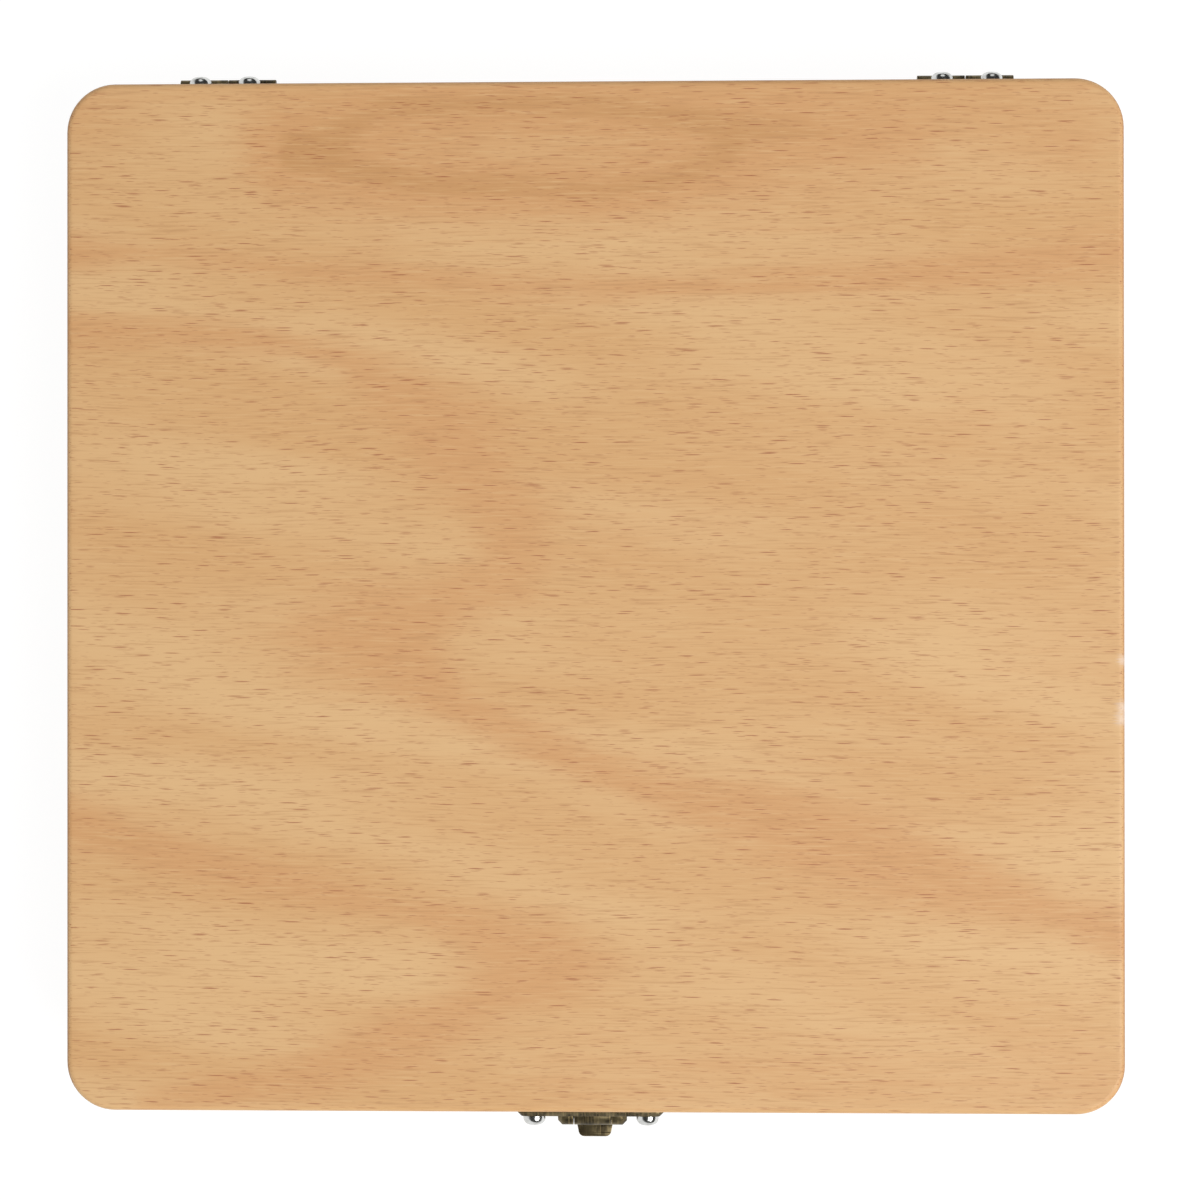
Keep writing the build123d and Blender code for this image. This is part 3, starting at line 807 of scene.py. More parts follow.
# The pale spots that handling has rubbed on the lid's right edge.
EDGE_SCUFFS = ((96.9, -11.8, 35.6, 1.9), (97.0, -20.4, 35.5, 2.2), (96.8, -22.6, 35.6, 2.3))
BEECH_X = OiledBeech("oiled_beech_along_x", Grain.ALONG_X)
BEECH_Y = OiledBeech("oiled_beech_along_y", Grain.ALONG_Y)
FIGURED_BEECH = OiledBeech("oiled_beech_figured", Grain.ALONG_X, banded=True, scuffs=EDGE_SCUFFS)
BRASS = AntiquedBrass("antiqued_brass_sheet")
NICKEL = PlatedMetal("nickel_plated_screw", "D5D6D4", "A5A4A0", 0.15, 0.3)
FERRULE_NICKEL = PlatedMetal("nickel_plated_ferrule", "DDDDDA", "ABAAA4", 0.1, 0.4)
STEEL = PlatedMetal("drawn_steel_wire", "6E6A60", "413D35", 0.34, 0.15)
PORCELAIN = GlazedPorcelain("glazed_porcelain")
PLASTIC = MouldedPlastic("moulded_polystyrene")
LACQUER = LacqueredWood("dark_lacquered_wood")
HAIR = SoftHair("brown_brush_hair")


def add_piece(
    shape: bmesh.types.BMesh,
    name: str,
    finish: Finish,
    body: str,
    nodes: tuple[str, ...],
    crease: float = 35.0,
) -> bpy.types.Object:
    """Makes a finished shape a piece of the object.

    Args:
        shape: the mesh, in metres and in place; it is used up.
        name: the piece's name.
        finish: what it is made of.
        body: the body that it moves with.
        nodes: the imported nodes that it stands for.
        crease: the angle in degrees past which an edge stays sharp.

    Returns:
        The new object.
    """
    mesh = bpy.data.meshes.new(name)
    shape.to_mesh(mesh)
    shape.free()
    mesh.shade_smooth()
    mesh.set_sharp_from_angle(angle=math.radians(crease))
    mesh.materials.append(finish.material())
    piece = bpy.data.objects.new(name, mesh)
    bpy.context.scene.collection.objects.link(piece)
    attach(piece, body)
    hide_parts(*nodes)
    log.info("%s: %d faces on %s", name, len(mesh.polygons), body)
    return piece


def dress_node(name: str, finish: Finish) -> None:
    """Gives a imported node, which keeps its shape, its finish."""
    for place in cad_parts[name].material_slots:
        place.material = finish.material()
    log.info("%s: %s", name, finish.name)


@dataclass
class WoodenCase:
    """The walls, panels, battens and dividers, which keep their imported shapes."""

    along_x: tuple[str, ...] = (
        "base_bottom_panel",
        "base_front_wall",
        "base_back_wall",
        "lid_front_wall",
        "lid_back_wall",
        "back_pan_batten",
        "front_pan_batten",
        "palette_divider",
    )
    along_y: tuple[str, ...] = (
        "base_left_wall",
        "base_right_wall",
        "lid_left_wall",
        "lid_right_wall",
        "trough_divider",
    )

    def dress(self) -> None:
        """Lays the grain along each board."""
        for name in self.along_x:
            dress_node(name, BEECH_X)
        for name in self.along_y:
            dress_node(name, BEECH_Y)


@dataclass(frozen=True)
class FigureAndShadeBand:
    """One soft brown band on the lid top: most draw its figure, and three are painted shade near its
    edges.

    Each of its points has a place along X and Y, a half width and a strength. The band is a dark
    core in a wide soft halo: each has a share of the strength and falls off at its own rate.
    """

    points: tuple[Quad, ...]
    core_share: float = 0.6
    core_fall: float = 0.7
    halo_share: float = 0.4
    halo_fall: float = 0.2

    def strength(self, where: np.ndarray) -> np.ndarray:
        """Works out how dark the band is.

        Args:
            where: rows of X and Y in millimetres.

        Returns:
            The band's strength at each row, from 0 up to the strength of its points.
        """
        found = np.zeros(len(where))
        route = np.array(self.points)
        for start, end in zip(route, route[1:]):
            run = end[:2] - start[:2]
            share = np.clip(((where - start[:2]) @ run) / (run @ run), 0, 1)
            off = np.hypot(*(where - start[:2] - share[:, None] * run).T)
            width = start[2] + share * (end[2] - start[2])
            level = start[3] + share * (end[3] - start[3])
            core = self.core_share * np.exp(-self.core_fall * (off / width) ** 2)
            halo = self.halo_share * np.exp(-self.halo_fall * (off / width) ** 2)
            found = np.maximum(found, level * (core + halo))
        return found


@dataclass
class FiguredLidTop:
    """The lid's top panel, whose flat sawn face shows the growth bands and painted shade near its
    edges.
    """

    node: str = "lid_top_panel"
    corner: float = 9.0
    edge: float = 1.2
    mesh_step: float = 2.0
    # The bands waver along the board and across it, in waves of these sizes.
    drift_along: float = 3.2
    drift_across: float = 0.8
    drift_length: float = 26.0
    drift_width: float = 7.0
    other_drift: Triple = (9.0, 4.0, 2.0)
    bands: tuple[FigureAndShadeBand, ...] = (
        # the oval near the back edge, from its left end over the back half to its right end
        FigureAndShadeBand((
            (-54.0, 82.0, 4.8, 1.5), (-46.0, 85.5, 4.8, 1.5), (-39.0, 89.6, 3.4, 1.5),
            (-17.4, 91.1, 2.8, 1.5), (1.0, 90.5, 3.1, 1.5), (15.7, 88.8, 3.5, 1.5),
            (26.0, 85.6, 4.6, 1.5), (38.0, 85.6, 4.2, 1.35), (57.2, 84.4, 3.4, 0.7),
        )),
        # its front half
        FigureAndShadeBand((
            (-54.0, 82.0, 4.8, 1.5), (-43.2, 78.6, 4.4, 1.5), (-32.1, 76.4, 3.4, 1.5),
            (-17.4, 75.2, 3.0, 1.5), (1.0, 74.8, 3.0, 1.45), (12.5, 76.4, 3.4, 1.45),
            (26.0, 81.0, 4.2, 1.45),
        )),
        # the narrow band right across, in front of the oval
        FigureAndShadeBand((
            (-98.4, 64.1, 2.6, 1.0), (-81.9, 63.0, 1.5, 0.8), (-67.1, 62.4, 1.5, 0.8),
            (-54.2, 60.6, 1.7, 0.8), (-35.8, 58.7, 1.7, 0.85), (-17.4, 57.6, 1.7, 0.85),
            (1.0, 56.5, 1.8, 0.9), (19.4, 57.1, 1.8, 0.9), (37.8, 58.2, 2.2, 0.9),
            (56.3, 59.1, 2.6, 1.0), (74.7, 60.0, 2.6, 1.0), (85.7, 61.5, 2.8, 1.0),
            (98.6, 64.1, 3.3, 1.1),
        )),
        # the long band that doubles back at the middle and runs on to the right edge
        FigureAndShadeBand((
            (-98.4, 49.9, 2.2, 1.0), (-81.9, 49.0, 2.2, 0.9), (-69.0, 47.9, 2.0, 0.9),
            (-54.2, 46.2, 1.7, 0.8), (-45.0, 44.2, 2.6, 0.8), (-34.0, 37.0, 5.5, 0.9),
            (-25.7, 28.7, 7.0, 1.0), (-19.2, 19.5, 5.2, 0.9), (-13.7, 12.2, 5.9, 0.9),
            (-16.5, 3.9, 5.2, 0.8), (-28.5, -1.7, 4.1, 0.8), (-37.7, -8.1, 6.3, 1.0),
            (-32.1, -15.5, 4.4, 1.0), (-22.9, -21.0, 3.1, 0.9), (-10.0, -26.9, 2.9, 0.9),
            (4.7, -33.0, 2.9, 0.9), (19.4, -37.6, 3.7, 1.0), (32.3, -41.3, 5.5, 1.1),
            (47.1, -45.9, 6.6, 1.1), (59.9, -50.1, 5.5, 1.1), (74.7, -55.1, 3.7, 1.0),
            (85.7, -58.2, 2.6, 1.0), (98.6, -61.9, 4.1, 1.0),
        )),
        # its branch to the left
        FigureAndShadeBand(((-37.7, -8.1, 5.5, 1.0), (-52.4, -7.2, 5.2, 0.7), (-65.3, -8.1, 3.3, 0.3))),
        # the band from the left edge to the tongue near the front
        FigureAndShadeBand((
            (-98.4, -40.9, 3.3, 1.1), (-85.5, -45.3, 3.1, 1.1), (-72.7, -49.0, 3.1, 1.1),
            (-57.9, -52.3, 2.9, 1.0), (-45.0, -55.4, 2.4, 0.9), (-32.1, -57.8, 2.2, 0.8),
            (-21.1, -62.4, 3.7, 1.0), (-10.0, -67.0, 4.8, 1.0), (3.8, -68.0, 2.9, 0.5),
        )),
        # the band from the tongue back to the front left corner
        FigureAndShadeBand((
            (-10.0, -67.0, 4.8, 1.0), (-15.6, -71.6, 3.7, 0.9), (-26.6, -78.1, 4.4, 1.0),
            (-39.5, -83.6, 3.9, 1.0), (-54.2, -88.8, 3.3, 1.0), (-69.0, -91.3, 2.6, 0.9),
            (-83.7, -93.2, 1.8, 0.7),
        )),
        # the haze inside the oval
        FigureAndShadeBand(((-34.0, 83.6, 4.5, 0.42), (-2.0, 84.4, 4.6, 0.58), (16.0, 83.8, 4.6, 0.52))),
        # the wide faint hazes; the three along the back edge, the front edge and the back left
        # corner are painted shade where the light falls off
        FigureAndShadeBand(((-38.0, 68.5, 5.0, 0.3), (44.0, 69.5, 5.0, 0.35))),
        FigureAndShadeBand(((30.0, 78.0, 4.0, 0.3), (90.0, 80.5, 4.5, 0.45))),
        # painted shade: darker along the back edge, the front edge and the back left corner
        FigureAndShadeBand(((28.0, 92.0, 6.0, 0.5), (95.0, 92.0, 6.0, 0.5))),
        FigureAndShadeBand(((-5.0, -90.0, 7.0, 0.5), (97.0, -90.0, 7.0, 0.5))),
        FigureAndShadeBand(((-98.0, 92.0, 9.0, 0.6), (-62.0, 96.0, 5.0, 0.3))),
        FigureAndShadeBand(((67.3, 32.4, 6.6, 0.35), (63.6, 17.7, 5.5, 0.3))),
        FigureAndShadeBand(((23.1, 28.7, 9.2, 0.2), (48.9, 28.7, 9.2, 0.2))),
        FigureAndShadeBand(((4.7, 9.4, 4.8, 0.3), (23.1, 12.2, 5.5, 0.2))),
        FigureAndShadeBand(((76.5, -9.9, 6.3, 0.3), (98.6, -9.9, 7.4, 0.35))),
    )

    def shape(self) -> bmesh.types.BMesh:
        """Makes the rounded board, cut into small squares that can carry the figure.

        Returns:
            The board in place.
        """
        low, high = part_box(self.node)
        board = block(low, high)
        round_edges(board, is_upright, self.corner * MM, steps=14)
        round_edges(board, is_at_height(high.z), self.edge * MM, steps=6)
        for axis in (0, 1):
            count = round((high[axis] - low[axis]) / (self.mesh_step * MM))
            for number in range(1, count):
                where = Vector((0, 0, 0))
                where[axis] = low[axis] + number * (high[axis] - low[axis]) / count
                everything = [*board.verts, *board.edges, *board.faces]
                slice_across(board, everything, axis, where)
        return board

    def figure(self, mesh: bpy.types.Mesh) -> None:
        """Writes the strength of the growth bands, and of the painted shade near the edges, to the
        mesh.

        Args:
            mesh: the board's mesh, which gets the attribute figure_and_shade_band.
        """
        places = np.empty(len(mesh.vertices) * 3)
        mesh.vertices.foreach_get("co", places)
        where = places.reshape(-1, 3)[:, :2] / MM
        for row in where:
            spot = Vector((row[0] / self.drift_length, row[1] / self.drift_width, 0.0))
            row[0] += self.drift_along * noise.noise(spot)
            row[1] += self.drift_across * noise.noise(spot + Vector(self.other_drift))
        clear, deep = np.ones(len(where)), np.zeros(len(where))
        for band in self.bands:
            level = band.strength(where)
            clear *= 1 - np.minimum(level, 1)
            deep += np.maximum(level - 1, 0)
        # Bands that cross never add up past 1, and what one has over 1 only deepens the colour.
        growth = mesh.attributes.new("figure_and_shade_band", "FLOAT", "POINT")
        growth.data.foreach_set("value", 1 - clear + deep)

    def build(self) -> None:
        """Builds the panel with its figure."""
        piece = add_piece(
            self.shape(),
            "figured_lid_top",
            FIGURED_BEECH,
            "lid",
            (self.node,),
            crease=60,
        )
        self.figure(piece.data)
        piece.modifiers.new("flat faces stay flat", "WEIGHTED_NORMAL").keep_sharp = True


@dataclass
class ThumbStrap:
    """The front of the clasp's lever, which hangs down and curls out to a level thumb tab."""

    centre: float = -0.6
    width: float = 6.8
    sheet: float = 1.1
    corner: float = 0.85
    front: tuple[Pair, ...] = (
        (-98.95, 22.4), (-99.0, 21.4), (-99.05, 20.4), (-99.25, 19.4), (-99.55, 18.3),
        (-99.85, 17.0), (-100.0, 15.6), (-100.05, 14.2), (-100.1, 13.1), (-100.2, 12.6),
        (-100.4, 12.25), (-100.7, 12.05), (-101.2, 11.98), (-102.0, 11.98), (-102.83, 11.98),
    )
    taper_start: float = -100.4
    taper: float = 0.14
    end_zone: float = 0.05
    room_top: float = 21.0
    room_foot: float = 13.0
    room_floor: float = 9.0
    room_front: float = -106.0
    room_spare: float = 1.1

    def swept(self, line: list[Pair], closed: bool) -> bmesh.types.BMesh:
        """Draws a line across the lever's width.

        Args:
            line: Y and Z pairs in millimetres.
            closed: whether the line is filled first, which makes a solid bar.

        Returns:
            The swept shape.
        """
        shape = bmesh.new()
        left = (self.centre - self.width / 2) * MM
        corners = [shape.verts.new((left, y * MM, z * MM)) for y, z in line]
        if closed:
            swept = bmesh.ops.extrude_face_region(shape, geom=[shape.faces.new(corners)])
        else:
            edges = [shape.edges.new(pair) for pair in zip(corners, corners[1:])]
            swept = bmesh.ops.extrude_edge_only(shape, edges=edges)
        moved = [v for v in swept["geom"] if isinstance(v, bmesh.types.BMVert)]
        bmesh.ops.translate(shape, vec=(self.width * MM, 0, 0), verts=moved)
        bmesh.ops.recalc_face_normals(shape, faces=shape.faces)
        return shape

    def room(self) -> bmesh.types.BMesh:
        """Makes the space in front of the strap's middle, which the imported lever's own fills.

        Returns:
            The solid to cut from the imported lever.
        """
        top, floor, front = self.room_top, self.room_floor, self.room_front
        hanging = [(y + self.sheet / 2, z) for y, z in self.front if self.room_foot < z < top]
        start, end = (hanging[0][0], top), (hanging[-1][0], floor)
        shape = self.swept([start, *hanging, end, (front, floor), (front, top)], closed=True)
        spare = Vector((self.room_spare, 1, 1))
        middle = Matrix.Translation((-self.centre * MM, 0, 0))
        bmesh.ops.scale(shape, vec=spare, verts=shape.verts, space=middle)
        return shape

    def shape(self) -> bmesh.types.BMesh:
        """Makes the strap with its curled tab and rounded corners.

        Returns:
            The strap in place.
        """
        strap = self.swept(list(self.front), closed=False)
        bmesh.ops.solidify(strap, geom=strap.faces, thickness=self.sheet * MM)
        bmesh.ops.recalc_face_normals(strap, faces=strap.faces)
        start, end = self.taper_start * MM, self.front[-1][0] * MM
        centre = self.centre * MM
        for corner in strap.verts:
            share = min(max((corner.co.y - start) / (end - start), 0), 1)
            corner.co.x = centre + (corner.co.x - centre) * (1 - self.taper * share)
        near_end = min(v.co.y for v in strap.verts) + self.end_zone * MM

        def is_tab_corner(edge: bmesh.types.BMEdge) -> bool:
            """Says whether an edge is one of the two corners at the tab's end."""
            return is_upright(edge) and all(v.co.y < near_end for v in edge.verts)

        round_edges(strap, is_tab_corner, self.corner * MM, steps=4)
        return strap


@dataclass
class MetalFittings:
    """The hinges and the clasp, whose sheet parts get slightly rolled edges."""

    edge: float = 0.06
    fold: float = 30.0
    flat: float = 0.5
    sheets: tuple[tuple[str, str], ...] = (
        ("left_hinge_lid_leaf", "lid"),
        ("right_hinge_lid_leaf", "lid"),
        ("left_hinge_base_leaf", "base"),
        ("right_hinge_base_leaf", "base"),
        ("clasp_lid_plate", "lid"),
        ("clasp_catch_plate", "base"),
    )
    lever: tuple[str, str] = ("clasp_lever", "clasp_lever")
    pins: tuple[str, ...] = ("left_hinge_pin", "right_hinge_pin", "clasp_lever_pin")

    def copied_node(self, node: str) -> bmesh.types.BMesh:
        """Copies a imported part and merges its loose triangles.

        Args:
            node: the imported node.

        Returns:
            The shape, closed and with whole flat faces.
        """
        shape = bmesh.new()
        shape.from_mesh(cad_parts[node].data)
        bmesh.ops.remove_doubles(shape, verts=shape.verts, dist=NEAR)
        limit = math.radians(self.flat)
        bmesh.ops.dissolve_limit(shape, angle_limit=limit, verts=shape.verts, edges=shape.edges)
        return shape

    def roll_edges(self, shape: bmesh.types.BMesh) -> bmesh.types.BMesh:
        """Rolls the sharp edges of sheet metal a little and returns the shape."""
        round_edges(shape, is_sharp(self.fold), self.edge * MM, steps=2)
        return shape

    def build(self) -> None:
        """Builds the sheet parts and dresses the pins."""
        for node, body in self.sheets:
            shape = self.roll_edges(self.copied_node(node))
            add_piece(shape, f"{node}_sheet", BRASS, body, (node,))
        node, body = self.lever
        strap = ThumbStrap()
        lever = carve(self.copied_node(node), strap.room())
        join_in(lever, strap.shape(), Matrix.Identity(4))
        shape = self.roll_edges(lever)
        add_piece(shape, f"{node}_sheet", BRASS, body, (node,))
        for node in self.pins:
            dress_node(node, STEEL)


@dataclass
class PanHeadScrew:
    """A pan-head wood screw with a cross recess."""

    head_radius: float = 2.05
    head_height: float = 1.88
    side_height: float = 0.5
    shank_radius: float = 1.0
    length: float = 6.0
    tip_length: float = 1.6
    foot_edge: float = 0.12
    dome_power: float = 0.6
    dome_steps: int = 12
    sides: int = 40
    recess_length: float = 2.5
    recess_width: float = 0.55
    recess_depth: float = 1.0
    recess_over: float = 0.5
    recess_foot: Triple = (0.5, 0.7, 1.0)

    def shape(self) -> bmesh.types.BMesh:
        """Makes one screw with its seat at Z 0 and its head up.

        Returns:
            The screw at the origin.
        """
        crown = self.head_height - self.side_height
        rises = [math.radians(90 / self.dome_steps * step) for step in range(self.dome_steps)]
        dome = [
            (
                self.head_radius * math.cos(rise) ** self.dome_power,
                self.side_height + crown * math.sin(rise),
            )
            for rise in rises
        ]
        outline = [
            (0, -self.length),
            (self.shank_radius, self.tip_length - self.length),
            (self.shank_radius, 0),
            (self.head_radius - self.foot_edge, 0),
            (self.head_radius, self.foot_edge),
            *dome,
            (0, self.head_height),
        ]
        screw = turned(outline, self.sides)
        for turn in (0, 90):
            low = Vector((-self.recess_length, -self.recess_width, 0)) * MM / 2
            high = Vector((self.recess_length, self.recess_width, 0)) * MM / 2
            low.z = (self.head_height - self.recess_depth) * MM
            high.z = (self.head_height + self.recess_over) * MM
            blade = block(low, high)
            foot = [v for v in blade.verts if v.co.z < (low.z + high.z) / 2]
            bmesh.ops.scale(blade, vec=self.recess_foot, verts=foot)
            spun = Matrix.Rotation(math.radians(turn), 4, "Z")
            bmesh.ops.transform(blade, matrix=spun, verts=blade.verts)
            screw = carve(screw, blade)
        polish_mesh(screw)
        return screw


@dataclass
class ScrewRow:
    """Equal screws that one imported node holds."""

    node: str
    body: str
    places: tuple[Pair, ...]
    seat: float
    turns: tuple[float, ...]
    facing_back: float = -90.0
    facing_front: float = 90.0

    def build(self) -> None:
        """Puts a screw at each place, facing away from the case."""
        single = PanHeadScrew().shape()
        row = bmesh.new()
        facing = self.facing_back if self.seat > 0 else self.facing_front
        for (x, z), turn in zip(self.places, self.turns):
            place = (
                Matrix.Translation(Vector((x, self.seat, z)) * MM)
                @ Matrix.Rotation(math.radians(facing), 4, "X")
                @ Matrix.Rotation(math.radians(turn), 4, "Z")
            )
            join_in(row, single, place)
        single.free()
        name, nodes = f"{self.node}_pan_heads", (self.node,)
        add_piece(row, name, NICKEL, self.body, nodes, crease=28)


@dataclass
class CaseScrews:
    """All the screws of the hinges and of the clasp."""

    hinge_centre: float = 69.4
    hinge_pitch: float = 9.2
    hinge_rise: float = 4.75
    seam: float = 21.0
    hinge_seat: float = 95.75
    hinge_turns: Quad = (12.0, 51.0, 78.0, 30.0)
    clasp_centre: float = -0.6
    clasp_pitch: float = 21.0
    clasp_height: float = 30.4
    catch_pitch: float = 15.6
    catch_height: float = 13.7
    clasp_seat: float = -96.1
    clasp_turns: Pair = (38.0, 66.0)

    def build(self) -> None:
        """Builds the four rows of screws."""
        half = self.hinge_pitch / 2
        across = [s * self.hinge_centre + o for s in (-1, 1) for o in (-half, half)]
        for node, body, side in (
            ("hinge_lid_screws", "lid", 1),
            ("hinge_base_screws", "base", -1),
        ):
            height = self.seam + side * self.hinge_rise
            places = tuple((x, height) for x in across)
            ScrewRow(node, body, places, self.hinge_seat, self.hinge_turns).build()
        for node, body, pitch, height in (
            ("clasp_lid_screws", "lid", self.clasp_pitch, self.clasp_height),
            ("clasp_catch_screws", "base", self.catch_pitch, self.catch_height),
        ):
            places = tuple((self.clasp_centre + s * pitch / 2, height) for s in (-1, 1))
            ScrewRow(node, body, places, self.clasp_seat, self.clasp_turns).build()


PAINTS = {
    "zinc_white": "F4F1E8",
    "lemon_yellow": "F2DC2E",
    "cadmium_yellow": "F3B413",
    "golden_orange": "E97A1A",
    "vermilion_red": "D93A1F",
    "scarlet_red": "C4201F",
    "carmine_red": "97112B",
    "rose_madder": "B42A4E",
    "magenta": "8C1D5A",
    "violet": "43265F",
    "ultramarine_blue": "1C2C86",
    "cobalt_blue": "1F4FA8",
    "cerulean_blue": "2C85B5",
    "turquoise_blue": "1B8E92",
    "prussian_blue": "102A43",
    "viridian_green": "12594A",
    "emerald_green": "1F8A4C",
    "sap_green": "44651F",
    "olive_green": "5D5F22",
    "yellow_ochre": "BE8A2F",
    "burnt_sienna": "833A1B",
    "oxide_red": "7A2A1E",
    "burnt_umber": "45291A",
    "ivory_black": "17161A",
}


@dataclass
class HalfPans:
    """The white half pans, three rows of eight."""

    columns: int = 8
    rows: int = 3
    length: float = 19.0
    width: float = 15.8
    corner: float = 1.4
    sheet: float = 0.9
    taper: float = 3.0
    rim: float = 0.25

    def cup(self, low: Vector, high: Vector) -> bmesh.types.BMesh:
        """Makes one tapered cup with a rounded rim.

        Args:
            low: the lowest corner of its box in metres.
            high: the highest corner.

        Returns:
            The cup in place.
        """
        cup = block(low, high)
        round_edges(cup, is_upright, self.corner * MM, steps=4)
        inward = (high.z - low.z) * math.tan(math.radians(self.taper))
        foot = [v for v in cup.verts if v.co.z < (low.z + high.z) / 2]
        draw_in(cup, foot, low, high, inward)
        top = top_face(cup)
        bmesh.ops.inset_region(cup, faces=[top], thickness=self.sheet * MM, use_even_offset=True)
        sunk = bmesh.ops.extrude_face_region(cup, geom=[top])
        floor = [v for v in sunk["geom"] if isinstance(v, bmesh.types.BMVert)]
        bmesh.ops.delete(cup, geom=[top], context="FACES_ONLY")
        bmesh.ops.translate(cup, vec=(0, 0, low.z + self.sheet * MM - high.z), verts=floor)
        draw_in(cup, floor, low, high, inward)
        round_edges(cup, is_at_height(high.z), self.rim * MM, steps=3)
        bmesh.ops.recalc_face_normals(cup, faces=cup.faces)
        return cup

    def build(self) -> None:
        """Builds all the cups as one piece."""
        low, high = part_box("half_pans")
        size = Vector((self.length * MM, self.width * MM, high.z - low.z))
        pans = bmesh.new()
        for row in range(self.rows):
            for column in range(self.columns):
                start = Vector(
                    (
                        low.x + column * (high.x - low.x - size.x) / (self.columns - 1),
                        low.y + row * (high.y - low.y - size.y) / (self.rows - 1),
                        low.z,
                    )
                )
                cup = self.cup(start, start + size)
                join_in(pans, cup, Matrix.Identity(4))
                cup.free()
        add_piece(pans, "moulded_half_pans", PLASTIC, "base", ("half_pans",))


@dataclass
class PaintCakes:
    """The poured paint, which climbs a little at its edge where it dried against the pan."""

    corner: float = 0.95
    edge_climb: float = 0.35
    edge_width: float = 1.3
    edge_steps: Triple = (0.25, 0.35, 0.4)
    taper: float = 3.0
    cells: int = 6
    swell: float = 0.18
    swell_size: float = 3.5
    swell_level: float = 0.35
    # The surface is the faces that look up by more than this, and its uneven middle the points
    # that lie this share of the climb or more below the edge.
    facing_up: float = 0.95
    settled_share: float = 0.9

    def cake(self, node: str) -> bmesh.types.BMesh:
        """Makes one cake of paint.

        Args:
            node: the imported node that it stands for.

        Returns:
            The cake in place.
        """
        low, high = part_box(node)
        cake = block(low, high)
        round_edges(cake, is_upright, self.corner * MM, steps=3)
        middle = (low.z + high.z) / 2
        inward = (high.z - low.z) * math.tan(math.radians(self.taper))
        draw_in(cake, [v for v in cake.verts if v.co.z < middle], low, high, inward)
        top = top_face(cake)
        for share in self.edge_steps:
            bmesh.ops.inset_region(
                cake,
                faces=[top],
                thickness=share * self.edge_width * MM,
                depth=-share * self.edge_climb * MM,
                use_even_offset=True,
            )
        for axis in (0, 1):
            for number in range(1, self.cells):
                inner = [f for f in cake.faces if f.normal.z > self.facing_up]
                around = {e for f in inner for e in f.edges} | {v for f in inner for v in f.verts}
                slice_across(cake, [*inner, *around], axis, low.lerp(high, number / self.cells))
        settled = high.z - self.settled_share * self.edge_climb * MM
        for v in cake.verts:
            if middle < v.co.z < settled:
                uneven = noise.noise(v.co / (self.swell_size * MM)) - self.swell_level
                v.co.z += self.swell * MM * uneven
        bmesh.ops.recalc_face_normals(cake, faces=cake.faces)
        return cake

    def build(self) -> None:
        """Builds the 24 cakes."""
        for name, colour in PAINTS.items():
            node = f"paint_{name}"
            finish = PouredPaint(f"poured_{name}", colour)
            cake, slot = self.cake(node), f"{name}_paint"
            add_piece(cake, f"poured_{node}", finish, "base", (node,), crease=60)


@dataclass
class MixingPalette:
    """The porcelain palette with five small wells behind two large ones."""

    node: str = "mixing_palette"
    corner: float = 6.0
    edge: float = 1.2
    rim: float = 6.0
    web: float = 4.0
    small_wells: int = 5
    small_share: float = 0.3
    large_wells: int = 2
    depth: float = 3.6
    well_corner: float = 5.0
    well_foot: float = 1.6
    well_rim: float = 0.7
    slope: float = 30.0
    cut_over: float = 0.5
    rim_turn: float = 15.0

    def wells(self, low: Vector, high: Vector) -> list[tuple[Vector, Vector]]:
        """Works out where the wells are.

        Args:
            low: the lowest corner of the palette in metres.
            high: its highest corner.

        Returns:
            The two level corners of each well.
        """
        rim, web = self.rim * MM, self.web * MM
        back = high.y - rim
        split = back - (high.y - low.y - 2 * rim - web) * self.small_share
        found = []
        for count, front, rear in (
            (self.small_wells, split, back),
            (self.large_wells, low.y + rim, split - web),
        ):
            width = (high.x - low.x - 2 * rim - (count - 1) * web) / count
            for number in range(count):
                left = low.x + rim + number * (width + web)
                found.append((Vector((left, front, high.z)), Vector((left + width, rear, high.z))))
        return found

    def well(self, low: Vector, high: Vector) -> bmesh.types.BMesh:
        """Makes the hollow of one well as a solid with sloped sides and a rounded foot.

        Args:
            low: one level corner of the well.
            high: the opposite corner.

        Returns:
            The solid to cut away.
        """
        over = self.cut_over * MM
        sink = Vector((0, 0, self.depth * MM))
        hollow = block(low - sink, high + Vector((0, 0, over)))
        round_edges(hollow, is_upright, self.well_corner * MM, steps=8)
        inward = self.depth * MM * math.tan(math.radians(self.slope))
        foot = [v for v in hollow.verts if v.co.z < low.z - over]
        draw_in(hollow, foot, low, high, inward)
        round_edges(hollow, is_at_height(low.z - sink.z), self.well_foot * MM, steps=4)
        return hollow

    def build(self) -> None:
        """Builds the palette as one glazed slab."""
        low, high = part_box(self.node)
        slab = block(low, high)
        round_edges(slab, is_upright, self.corner * MM, steps=8)
        round_edges(slab, is_at_height(high.z), self.edge * MM, steps=4)
        for well in self.wells(low, high):
            slab = carve(slab, self.well(*well))
        at_top, bent = is_at_height(high.z), is_sharp(self.rim_turn)
        round_edges(slab, lambda edge: at_top(edge) and bent(edge), self.well_rim * MM, steps=3)
        polish_mesh(slab)
        name, nodes = "glazed_mixing_palette", (self.node,)
        add_piece(slab, name, PORCELAIN, "base", nodes, crease=40)


